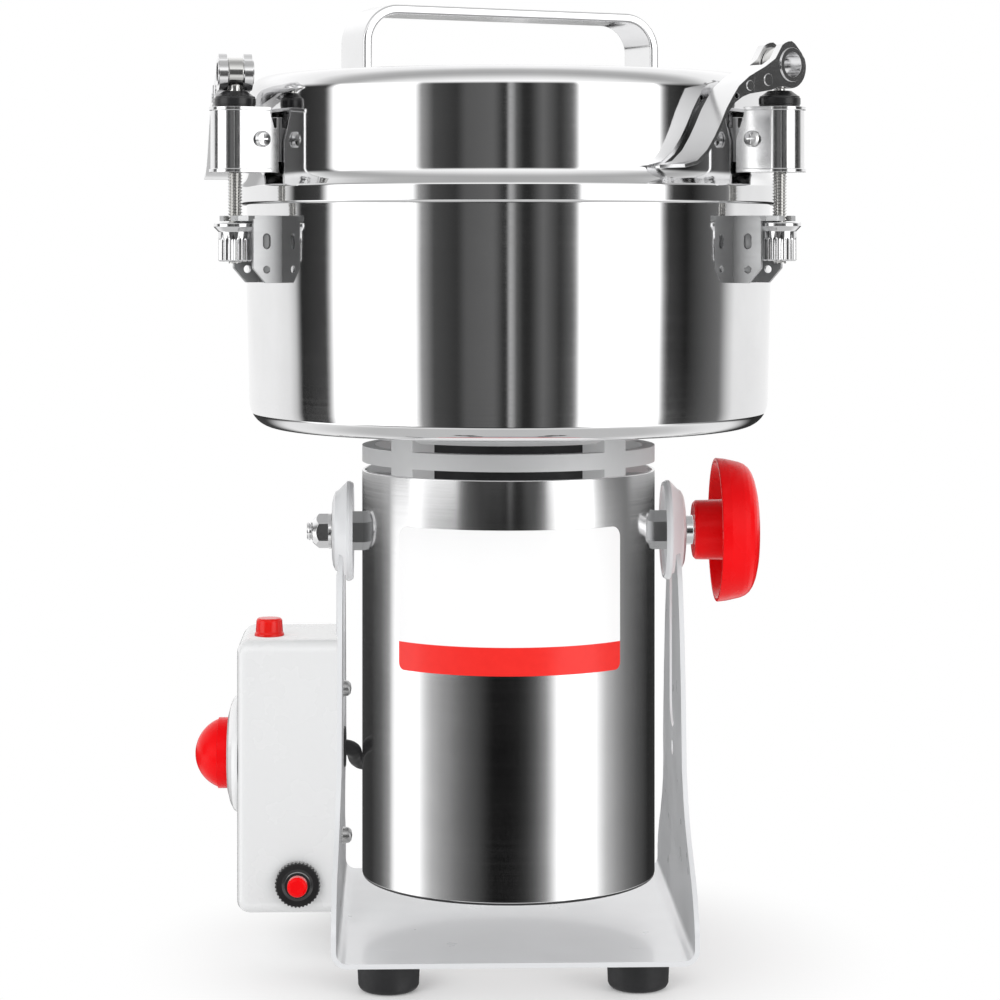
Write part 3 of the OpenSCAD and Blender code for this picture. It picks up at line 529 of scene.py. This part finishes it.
# label place: a curved sheet with rounded corners and a coloured band at its lower edge
bm = bmesh.new()
HALF, Z0, Z1 = 51.0, 127.6, 187.0     # half length along the curve, bottom, top
cols = sorted({round(x, 3) for x in [HALF * math.tanh(2.6 * (k / 30)) / math.tanh(2.6) for k in range(31)]})
cols = sorted({-c for c in cols} | set(cols))
def label_span(u):
    e = HALF - abs(u)
    def dip(r):
        return r - math.sqrt(max(0, r * r - (r - e) ** 2)) if e < r else 0.0
    return Z0 + dip(3.0), Z1 - dip(4.6)
ROWS = 24
grid = {}
for side, rr in ((1, S + 0.32), (0, S + 0.05)):
    for i, u in enumerate(cols):
        a = u / S - rad(1.4)
        lo, hi = label_span(u)
        for j in range(ROWS + 1):
            z = lo + (hi - lo) * j / ROWS
            grid[side, i, j] = bm.verts.new((rr * sin(a) * MM, -rr * cos(a) * MM, z * MM))
n = len(cols)
for side in (0, 1):
    for i in range(n - 1):
        for j in range(ROWS):
            bm.faces.new([grid[side, i, j], grid[side, i + 1, j], grid[side, i + 1, j + 1], grid[side, i, j + 1]])
edge = [(i, 0) for i in range(n)] + [(n - 1, j) for j in range(1, ROWS + 1)] + [(i, ROWS) for i in range(n - 2, -1, -1)] + [(0, j) for j in range(ROWS - 1, 0, -1)]
for (a, b) in zip(edge, edge[1:] + edge[:1]):
    bm.faces.new([grid[1, a[0], a[1]], grid[1, b[0], b[1]], grid[0, b[0], b[1]], grid[0, a[0], a[1]]])
finish_mesh("label_place", bm, M["label"], "label_plate", replace=("label_plate",))

# ---------------------------------------------------------------- handle
bm = bmesh.new()
path = [(68.0, 374.5), (68.0, 380)] + arc(54, 388, 14, 0, 90, 18)[0:] + [(20, 402), (0, 402), (-20, 402)] + arc(-54, 388, 14, 90, 180, 18) + [(-68.0, 380), (-68.0, 374.5)]
sec = fillet([(-12.5, -2), (12.5, -2), (12.5, 2), (-12.5, 2)], 1.1, 4, closed=True)
rings = []
for k, (x, z) in enumerate(path):
    a, b = Vector(path[max(0, k - 1)]), Vector(path[min(len(path) - 1, k + 1)])
    t = (b - a).normalized()
    nrm = Vector((-t.y, t.x))
    rings.append([bm.verts.new(((x + nrm.x * h) * MM, w * MM, (z + nrm.y * h) * MM)) for w, h in sec])
for A, B in zip(rings, rings[1:]):
    for k in range(len(A)):
        bm.faces.new([A[k], A[(k + 1) % len(A)], B[(k + 1) % len(A)], B[k]])
bm.faces.new(rings[0])
bm.faces.new(list(reversed(rings[-1])))
bm.transform(Matrix.Translation((-0.0026, 0, 0)) @ Matrix.Rotation(rad(24), 4, "Z"))
handle = finish_mesh("handle_strap", bm, M["small_chrome"], "lid_handle", replace=("lid_handle",))
# weld beads where the strap meets the lid
bm = bmesh.new()
for sx in (-1, 1):
    for side in (-1, 1):
        for k in range(25):
            y0 = -12.0 + k * 1.0
            x = sx * (68.0 + side * 2.0)
            mt = Matrix.Translation((x * MM, y0 * MM, 374.5 * MM)) @ Matrix.Diagonal((0.9 * MM, 0.8 * MM, 0.7 * MM, 1))
            bmesh.ops.create_icosphere(bm, subdivisions=2, radius=1.0, matrix=mt)
bm.transform(Matrix.Translation((-0.0026, 0, 0)) @ Matrix.Rotation(rad(24), 4, "Z"))
finish_mesh("handle_weld", bm, M["satin_steel"], "lid_handle")

# ---------------------------------------------------------------- control box and its fittings
BX0, BX1, BH, BZ0, BZ1 = -115.0, -72.75, 27.6, 22.5, 137.5
bm = bmesh.new()
v = {}
for ix, x in enumerate((BX0, BX1)):
    for iy, y in enumerate((-BH, BH)):
        for iz, z in enumerate((BZ0, BZ1)):
            v[ix, iy, iz] = bm.verts.new((x * MM, y * MM, z * MM))
quads = [((0,0,0),(0,1,0),(0,1,1),(0,0,1)), ((1,0,0),(1,0,1),(1,1,1),(1,1,0)), ((0,0,0),(0,0,1),(1,0,1),(1,0,0)), ((0,1,0),(1,1,0),(1,1,1),(0,1,1)), ((0,0,0),(1,0,0),(1,1,0),(0,1,0)), ((0,0,1),(0,1,1),(1,1,1),(1,0,1))]
for q in quads:
    bm.faces.new([v[k] for k in q])
def soft_edges(bm, test, width, segs):
    es = [e for e in bm.edges if test(e)]
    bmesh.ops.bevel(bm, geom=es, offset=width * MM, offset_type="OFFSET", segments=segs, profile=0.5, affect="EDGES", clamp_overlap=True)
soft_edges(bm, lambda e: not all(abs(p.co.x - BX1 * MM) < 1e-6 for p in e.verts), 5.4, 10)
bmesh.ops.bevel(bm, geom=[e for e in bm.edges if all(abs(p.co.x - BX1 * MM) < 1e-6 for p in e.verts)], offset=0.5 * MM, offset_type="OFFSET", segments=2, profile=0.5, affect="EDGES")
box_look = finish_mesh("control_box_cover", bm, M["painted_box"], "control_box", replace=("control_box",), sharp=50)

BTN_Z = 85.7
bm = bmesh.new()
prof = fillet([(25.05, -114.9), (25.0, -116.0), (23.9, -117.4), (20.8, -118.9), (16.6, -119.95), (15.8, -120), (15.5, -119.4), (15.5, -116), (16, -114.9)], [0, 0.6, 1.6, 4, 0.4, 0.3, 0.2, 0, 0], 6, closed=True)
lathe(bm, prof, 128, "X", (0, 0, BTN_Z))
finish_mesh("button_bezel", bm, M["white_plastic"], "switch_bezel", replace=("switch_bezel",))

bm = bmesh.new()
prof = ([(0, -110.2), (11.6, -110.2), (11.6, -118.2), (14.6, -118.2), (15, -118.6), (15, -121.0), (15, -124.2)]
        + [(15.4 * cos(rad(t)), -118.8 - 15.4 * sin(rad(t))) for t in range(21, 90, 3)] + [(0, -134.2)])
lathe(bm, prof, 128, "X", (0, 0, BTN_Z))
finish_mesh("power_button_dome", bm, M["red_plastic"], "power_button", replace=("power_button",))

bm = bmesh.new()
prof = [(0, 129.6)] + fillet([(4.1, 129.6), (4.1, 137.5), (6.3, 137.5), (6.2, 138.6), (5.75, 139.4), (5.45, 144.2), (4.9, 145.0), (0, 145.05)], [0, 0, 0.3, 0.3, 0.4, 0.6, 0.8, 0], 4)
lathe(bm, prof, 96, "Z", (-102, -12, 0), wobble=lambda r, h, a: r - (0.10 * (0.5 + 0.5 * cos(24 * a)) if 139.6 < h < 144 and r > 5 else 0))
lens_look = finish_mesh("indicator_cap", bm, M["red_lens"], "indicator_lens", replace=("indicator_lens",))

# reset button with a crowned end, and the nut round it with fine knurling
bm = bmesh.new()
prof = [(0, -23.7)] + fillet([(4.2, -23.7), (4.2, -35.2), (3.0, -35.95), (0, -36.0)], [0.2, 0.9, 1.5, 0], 5)
lathe(bm, prof, 64, "Y", (-89.3, 0, 35.7))
reset_look = finish_mesh("reset_button_cap", bm, M["red_plastic"], "reset_button", replace=("reset_button",))
bm = bmesh.new()
prof = fillet([(9.55, -27.65), (9.55, -30.8), (8.9, -31.2), (6.6, -31.2), (5.45, -30.6), (5.45, -27.65)], [0.2, 0.3, 0.4, 0.4, 0.2, 0], 3, closed=True)
lathe(bm, prof, 288, "Y", (-89.3, 0, 35.7), wobble=lambda r, h, a: r - (0.55 * (0.5 + 0.5 * cos(36 * a)) if r > 8.8 else 0))
nut_look = finish_mesh("breaker_nut_knurled", bm, M["black_plastic"], "breaker_nut", replace=("breaker_nut",))
refine("breaker_body", 0.3)
refine("cord_gland", 0.4, mat=M["black_rubber"])
refine("switch_body", 0.3)

# ---------------------------------------------------------------- cradle, feet, trunnions
# picks the inner faces of the pressed channels in the arms, which get the dark grey painted shade
def channel(c, n):
    s = 1 if c.x > 0 else -1
    return 1 if abs(abs(c.x) - 71.6) < 0.35 and abs(c.y) < 12.3 and 95 < c.z < 164 and n.x * s < -0.9 else 0
cradle_look = refine("cradle", 0.55, 3, 24, sharp=40, mat=[M["painted_frame"], M["painted_channel_shade"]], paint_faces=channel)
refine("rubber_feet", 0.7, 3, 25)
def plate_end(c, n):
    # the riveted ends of the foot screws are painted over with the plate, the box screws are dark
    return 1 if n.z > 0.5 and c.z < 18.5 else (2 if c.z > 18.5 else 0)
screws_look = refine("frame_screws", 0.25, 2, mat=[M["screw_steel"], M["painted_frame"], M["screw_dark"]], paint_faces=plate_end)
refine("pivot_ring", 0.35, 2, mat=M["spacer_steel"])
refine("hex_spacer", 0.35, 2, mat=M["spacer_steel"])
refine("pivot_cap_nut", 0.35, 2, mat=M["small_chrome"])
refine("neck_casting", 0.45, 2)
refine("bottom_cover", 0.3)
refine("lead_grommet", 0.3, 2)

def thread(bm, x, r, h0, h1, pitch, depth, axis, at, per=10, seg=32, taper=True):
    """A screw thread as a closed rippled skin between h0 and h1."""
    nr = max(2, int((h1 - h0) / pitch * per))
    pts = []
    for i in range(nr + 1):
        pts.append((r, h0 + (h1 - h0) * i / nr))
    def wob(rr, h, a):
        ph = (h / pitch - a / (2 * pi)) % 1.0
        w = abs(2 * ph - 1)
        cut = depth * max(0, min(1, (0.94 - w) / 0.82)) if True else 0
        fade = min(1, (h - h0) / pitch, (h1 - h) / pitch) if taper else 1
        return rr - cut * max(0.0, fade) - (0.35 * (1 - max(0, fade)) if taper else 0)
    full = [(0, h0)] + pts + [(0, h1)]
    lathe(bm, full, seg, axis, at, wobble=wob, closed=False)

# threaded end of the pivot bolt beyond its cap nut, plain shank inside
bm = bmesh.new()
thread(bm, 0, 4.0, -86.4, -82.4, 1.25, 0.6, "X", (0, 0, AXIS_Z))
prof = fillet([(0, -82.6), (3.7, -82.6), (4.0, -81.6), (4.0, -53.0), (7.0, -53.0), (7.0, -48.8), (0, -48.8)], [0, 0.1, 0, 0, 0.3, 0.4, 0], 3)
lathe(bm, prof, 64, "X", (0, 0, AXIS_Z), closed=False)
finish_mesh("pivot_bolt_turned", bm, M["small_chrome"], "pivot_bolt", replace=("pivot_bolt",))

bm = bmesh.new()
prof = ([(4.02, 79.5)] + fillet([(4.02, 79.5), (11.6, 79.5), (12.7, 80.6), (12.9, 91), (13.6, 99.8), (21.6, 99.6), (25.0, 98.2), (27.0, 95.4), (28.6, 90.6), (29.2, 89.25), (30.9, 89.25), (30.45, 93.4), (29.15, 99.2), (28.25, 101.4), (26.85, 103.1), (25, 104.35), (22.6, 105.35), (18.6, 106.35), (12.4, 107.05), (6, 107.3), (0, 107.35)],
        [0, 0.6, 0.9, 0, 1.5, 2.5, 3.0, 3.0, 1.5, 0.5, 0.5, 6, 6, 3, 3, 3, 6, 12, 20, 20, 0], 6)[1:] + [(0, 102.5), (4.02, 102.5)])
lathe(bm, prof, 192, "X", (0, 0, AXIS_Z))
knob_look = finish_mesh("lock_knob_moulded", bm, M["red_plastic"], "lock_knob", replace=("lock_knob",))
bm = bmesh.new()
thread(bm, 0, 4.0, 53.6, 76.4, 1.25, 0.55, "X", (0, 0, AXIS_Z), 8, 28)
prof = fillet([(0, 76.2), (6.1, 76.2), (6.3, 76.4), (6.3, 79.3), (4.0, 79.3), (4.0, 102.3), (0, 102.3)], [0, 0, 0.2, 0.3, 0, 0, 0], 3)
lathe(bm, prof, 64, "X", (0, 0, AXIS_Z), closed=False)
finish_mesh("knob_stud_turned", bm, M["small_chrome"], "knob_stud", replace=("knob_stud",))

# ---------------------------------------------------------------- motor lead
def tube(bm, pts, radius, seg=20, sub=8, cap=True):
    P = [Vector(p) for p in pts]
    fine = []
    for i in range(len(P) - 1):
        p0, p1, p2, p3 = P[max(0, i - 1)], P[i], P[i + 1], P[min(len(P) - 1, i + 2)]
        for k in range(sub):
            t = k / sub
            fine.append(0.5 * ((2 * p1) + (-p0 + p2) * t + (2 * p0 - 5 * p1 + 4 * p2 - p3) * t * t + (-p0 + 3 * p1 - 3 * p2 + p3) * t ** 3))
    fine.append(P[-1])
    up = Vector((0, 0, 1))
    rings = []
    for i, p in enumerate(fine):
        t = (fine[min(len(fine) - 1, i + 1)] - fine[max(0, i - 1)]).normalized()
        u = (up - t * up.dot(t)).normalized()
        w = t.cross(u)
        up = u
        rr = radius(i / (len(fine) - 1)) if callable(radius) else radius
        rings.append([bm.verts.new((p + (u * cos(2 * pi * k / seg) + w * sin(2 * pi * k / seg)) * rr) * MM) for k in range(seg)])
    for A, B in zip(rings, rings[1:]):
        for k in range(seg):
            bm.faces.new([A[k], A[(k + 1) % seg], B[(k + 1) % seg], B[k]])
    if cap:
        bm.faces.new(rings[0])
        bm.faces.new(list(reversed(rings[-1])))

LEAD = [(-79, 0, 88), (-73.5, 0, 88), (-70.6, 0.3, 87.8), (-68, 1.9, 86.9), (-66.5, 5, 85.2), (-66.2, 9.2, 82.9), (-65.6, 14, 80.3), (-64, 19, 78.1), (-62.2, 23, 77), (-60.3, 25.4, 77), (-58.2, 25.6, 77), (-54.5, 24, 77)]
bm = bmesh.new()
tube(bm, LEAD, 3.3)
lead = finish_mesh("motor_lead_flex", bm, M["black_rubber"], "motor_lead", replace=("motor_lead",), body=False, sharp=60)
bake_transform(lead)

# ---------------------------------------------------------------- brackets, ears and clamps
refine("bowl_brackets", 0.30, 2, mat=M["satin_plate"])
refine("clamp_ears", 0.30, 2)
refine("ear_screws", 0.18, 2, mat=M["small_chrome"])

for i in range(3):
    n = str(i + 1)
    m0, m1 = clamp_matrix(i), clamp_matrix(i, True)
    refine("clamp_body_" + n, 0.35, 2, mat=M["small_chrome"], keep=lambda c, s: s[2] > 20)
    bm = bmesh.new()
    prof = fillet([(2.5, 359.65), (8.2, 359.65), (8.25, 360.5), (8.5, 360.6), (8.5, 363.1), (8.2, 363.2), (8.1, 363.9), (7.4, 364.2), (4.8, 366.1), (2.5, 366.15)], [0, 0.3, 0, 0.2, 0.2, 0, 0.3, 0.4, 0.4, 0.2], 4, closed=True)
    lathe(bm, prof, 96, "Z", (128, 0, 0))
    for f in bm.faces:
        c = f.calc_center_median() * 1000
        f.material_index = 1 if 360.55 < c.z < 363.15 and math.hypot(c.x - 128, c.y) > 8 else 0
    bm.transform(m0)
    finish_mesh("cam_pad_" + n, bm, [M["black_plastic"], M["small_chrome"]], "clamp_body_" + n)
    # rod: thread, plain neck, flat eye
    bm = bmesh.new()
    thread(bm, 0, 2.94, 296.0, 358.3, 1.25, 0.62, "Z", (128, 0, 0), 8, 28)
    e = 0.78 if i == 1 else 1.0
    top = PIN_Z[i] * 1000 - 6.8 * e
    prof = fillet([(0, 358.0), (2.4, 358.0), (2.4, 368.2), (2.9, 368.3), (2.9, top), (0, top)], [0, 0.2, 0, 0, 0.2, 0], 2)
    lathe(bm, prof, 32, "Z", (128, 0, 0), closed=False)
    # faces above the thread take the neck colour; the thread valleys take the dark painted shade
    for f in bm.faces:
        c = f.calc_center_median() * 1000
        f.material_index = 1 if c.z > 358.5 else (2 if math.hypot(c.x - 128, c.y) < 2.68 and 297 < c.z < 357.5 else 0)
    bm.transform(m0)
    bm2 = bmesh.new()
    lathe(bm2, fillet([(6.1 * e, -3.1), (7.6 * e, -3.1), (7.6 * e, 3.1), (6.1 * e, 3.1)], [0.3, 0.6, 0.6, 0.3], 4, closed=True), 64, "X")
    bm2.transform(m1)
    tmp = bpy.data.meshes.new("t"); bm2.to_mesh(tmp); bm2.free()
    bm.from_mesh(tmp); bpy.data.meshes.remove(tmp)
    finish_mesh("clamp_rod_threaded_" + n, bm, [M["thread_steel"], M["neck_black"], M["thread_dark"]], "clamp_rod_" + n, replace=("clamp_rod_" + n,))
    # nut with flutes and flange
    bm = bmesh.new()
    prof = fillet([(3.0, 297.0), (6.4, 297.0), (6.9, 297.6), (6.9, 300), (6.9, 303), (6.9, 305.6), (6.9, 306.6), (6.9, 309.2), (8.3, 310.6), (8.75, 311.1), (8.75, 312.3), (8.4, 312.8), (3.0, 312.8)], [0, 0.3, 0.3, 0, 0, 0, 0, 0.6, 0.3, 0.3, 0.2, 0.3, 0], 3, closed=True)
    lathe(bm, prof, 216, "Z", (128, 0, 0), wobble=lambda r, h, a: r - (0.55 * (0.5 + 0.5 * cos(18 * a)) ** 1.5 if 6.3 < r < 7.05 and h < 306 else 0))
    if i == 1:
        bm.transform(Matrix.Translation((0, 0, -0.00025)))
    bm.transform(m0)
    finish_mesh("flange_nut_" + n, bm, M["small_chrome"], "knurled_nut_" + n, replace=("knurled_nut_" + n,))
    refine("cam_lever_" + n, 0.45, 3, 35, mat=M["small_chrome"])

for o in (cradle_look, knob_look, screws_look):
    o.visible_glossy = False
for o in list(scene.objects):
    if o.type == "MESH":
        pts = [o.matrix_world @ Vector(c) for c in o.bound_box]
        if max(q.x for q in pts) < -0.060 and max(q.z for q in pts) < 0.16:
            o.visible_glossy = False
# light reaches the inner faces of the arms from both sides
cradle_look.visible_shadow = False
cradle_look.visible_diffuse = False
# the painted plate closes over the ends of the foot screws
bm = bmesh.new()
for fx, fy in ((-51, -60), (51, -60), (-51, 60), (51, 60)):
    lathe(bm, [(0, 16.2), (3.7, 16.2), (3.7, 16.53), (3.5, 16.56), (0, 16.56)], 48, "Z", (fx, fy, 0), closed=False)
finish_mesh("foot_screw_ends", bm, M["painted_frame"], "frame_screws")
# the motor does not darken the narrow gaps beside it, which are bright in the photograph
for o in list(scene.objects):
    if o.type == "MESH":
        pts = [o.matrix_world @ Vector(c) for c in o.bound_box]
        if max(max(abs(q.x), abs(q.y)) for q in pts) < 0.0642 and min(q.z for q in pts) > 0.033 and max(q.z for q in pts) < 0.232:
            o.visible_diffuse = False
            o.visible_shadow = False

# ---------------------------------------------------------------- floor, lights and studio
BACK = 1.0
bm = bmesh.new()
for r0 in (0,):
    ring = [bm.verts.new((9 * cos(2 * pi * k / 96), 9 * sin(2 * pi * k / 96), -0.0002)) for k in range(96)]
    bm.faces.new(ring)
me = bpy.data.meshes.new("floor")
bm.to_mesh(me); bm.free()
floor = bpy.data.objects.new("floor", me)
scene.collection.objects.link(floor)
fm = Mat("floor_paper", (0.86, 0.86, 0.86), 0.9, spec=0.1)
fm.vary(fm.noise(3, 2), (0.855, 0.855, 0.855), (0.865, 0.865, 0.865))
# the paper runs out into an even white away from the object
dist = fm.node("ShaderNodeVectorMath", operation="LENGTH")
fm.link(fm.co, dist.inputs[0])
far = fm.node("ShaderNodeMapRange", interpolation_type="SMOOTHSTEP")
far.inputs["From Min"].default_value, far.inputs["From Max"].default_value = 0.05, 0.17
fm.link(dist.outputs["Value"], far.inputs["Value"])
glow = fm.node("ShaderNodeEmission")
glow.inputs["Color"].default_value = (1, 1, 1, 1)
glow.inputs["Strength"].default_value = BACK
blend_ = fm.node("ShaderNodeMixShader")
fm.link(far.outputs["Result"], blend_.inputs[0])
fm.link(fm.b.outputs[0], blend_.inputs[1])
fm.link(glow.outputs[0], blend_.inputs[2])
fm.link(blend_.outputs[0], fm.t.nodes["Material Output"].inputs[0])
me.materials.append(fm.m)
floor.visible_glossy = False

def area(name, at, aim, size, power, color=(1, 1, 1)):
    d = bpy.data.lights.new(name, "AREA")
    d.shape = "RECTANGLE"
    d.size, d.size_y = size
    d.energy = power
    d.color = color
    o = bpy.data.objects.new(name, d)
    scene.collection.objects.link(o)
    o.location = at
    o.rotation_euler = (Vector(aim) - Vector(at)).to_track_quat("-Z", "Y").to_euler()
    o.visible_glossy = False
    return o

area("key", (-1.1, -1.5, 1.5), (0, 0, 0.2), (1.2, 1.2), 14)
area("fill", (1.6, -1.1, 0.9), (0, 0, 0.2), (1.2, 1.2), 9)
area("top", (0.1, 0.4, 2.2), (0, 0, 0.2), (1.6, 1.6), 2)
area("back", (0.2, 1.9, 1.2), (0, 0, 0.2), (1.4, 1.0), 6)

world = bpy.data.worlds.new("studio")
scene.world = world
world.use_nodes = True
wt = world.node_tree
wt.nodes.clear()
def wn(kind, **p):
    k = wt.nodes.new(kind)
    for a, b in p.items():
        setattr(k, a, b)
    return k
def wmath(op, a, b=None, c=None):
    k = wn("ShaderNodeMath", operation=op)
    for idx, val in enumerate((a, b, c)):
        if val is None:
            continue
        if isinstance(val, (int, float)):
            k.inputs[idx].default_value = val
        else:
            wt.links.new(val, k.inputs[idx])
    return k.outputs[0]
tc = wn("ShaderNodeTexCoord")
sep = wn("ShaderNodeSeparateXYZ")
wt.links.new(tc.outputs["Generated"], sep.inputs[0])
X, Y, Z = sep.outputs
az = wmath("ARCTAN2", X, wmath("MULTIPLY", Y, -1.0))          # 0 towards -Y, + towards +X
az01 = wmath("ADD", wmath("DIVIDE", az, 2 * pi), 0.5)
def ramp(fac, stops):
    k = wn("ShaderNodeValToRGB")
    cr = k.color_ramp
    cr.interpolation = "LINEAR"
    while len(cr.elements) > 1:
        cr.elements.remove(cr.elements[-1])
    first = True
    for pos, val in stops:
        if first:
            e = cr.elements[0]
            e.position = pos
            first = False
        else:
            e = cr.elements.new(pos)
        e.color = (val, val, val, 1)
    wt.links.new(fac, k.inputs[0])
    return k.outputs[0]
def bands(stops):
    return ramp(az01, [((d + 180) / 360, v) for d, v in stops])
GAIN = 2.0
UP = [(-180, .50), (-125, .51), (-112, .46), (-107, .33), (-103, .012), (-86.5, .03), (-81, .9), (-43, .9), (-39.5, .19), (-34, .04), (-23.5, .02), (-20, .055), (-8, .072), (-4, .016), (-2, .016), (-1, .42), (0.5, .07),
      (4.5, .011), (7.5, .015), (12.5, .08), (20, .018), (25, .07), (26.5, .15), (29, .9), (65, .9), (67, .28), (69.5, .03), (80, .008), (102, .09), (108, .33), (113, .47), (179.9, .50)]
LO = [(-180, .03), (-138, .02), (-121, .06), (-108, .19), (-105.5, .5), (-100, .75), (-78, .85), (-74, .58), (-69, .38), (-64, .27), (-55, .18), (-43, .096), (-33, .056), (-27, .04), (-19, .0125), (-14, .002), (-2, .002),
      (5, .006), (12, .019), (19, .057), (27, .166), (31, .35), (35, .62), (39, .9), (66, .9), (72, .58), (80, .31), (91, .184), (103, .104), (117, .054), (140, .012), (179.9, .02)]
up, lo = bands(UP), bands(LO)
el = wmath("ARCTAN2", Z, wmath("SQRT", wmath("ADD", wmath("MULTIPLY", X, X), wmath("MULTIPLY", Y, Y))))
eld = wmath("MULTIPLY", el, 180 / pi)
def smooth(val, a, b):
    k = wn("ShaderNodeMapRange", interpolation_type="SMOOTHSTEP")
    k.inputs["From Min"].default_value = a
    k.inputs["From Max"].default_value = b
    wt.links.new(val, k.inputs["Value"])
    return k.outputs["Result"]
def wmix(fac, a, b):
    k = wn("ShaderNodeMix", data_type="RGBA")
    wt.links.new(fac, k.inputs[0])
    for val, s in ((a, k.inputs[6]), (b, k.inputs[7])):
        if isinstance(val, (int, float)):
            s.default_value = (val, val, val, 1)
        else:
            wt.links.new(val, s)
    return k.outputs[2]
side = wmix(smooth(eld, -5.1, -4.5), lo, up)
side = wmix(smooth(eld, -30, -17), 0.47, side)
side = wmix(smooth(eld, -58, -34), 0.30, side)
# tones overhead, by the angle in the vertical plane through the front
over = wmath("ARCTAN2", Z, wmath("MULTIPLY", Y, -1.0))
over01 = wmath("DIVIDE", over, pi)
top = ramp(over01, [(0.0, .62), (26 / 180, .62), (48 / 180, .43), (61 / 180, .30), (75 / 180, .245), (90 / 180, .27), (98 / 180, .32), (118 / 180, .53), (150 / 180, .6), (1.0, .6)])
side = wmix(smooth(eld, 12, 26), side, top)
lp = wn("ShaderNodeLightPath")
gl = wn("ShaderNodeBackground"); wt.links.new(side, gl.inputs[0]); gl.inputs[1].default_value = GAIN
soft = wmix(smooth(eld, 5, 75), 0.95, 0.42)
df = wn("ShaderNodeBackground"); wt.links.new(soft, df.inputs[0]); df.inputs[1].default_value = 1.0
cm = wn("ShaderNodeBackground"); cm.inputs[0].default_value = (1, 1, 1, 1); cm.inputs[1].default_value = BACK
m1 = wn("ShaderNodeMixShader"); wt.links.new(lp.outputs["Is Glossy Ray"], m1.inputs[0]); wt.links.new(df.outputs[0], m1.inputs[1]); wt.links.new(gl.outputs[0], m1.inputs[2])
m2 = wn("ShaderNodeMixShader"); wt.links.new(lp.outputs["Is Camera Ray"], m2.inputs[0]); wt.links.new(m1.outputs[0], m2.inputs[1]); wt.links.new(cm.outputs[0], m2.inputs[2])
out = wn("ShaderNodeOutputWorld")
wt.links.new(m2.outputs[0], out.inputs[0])
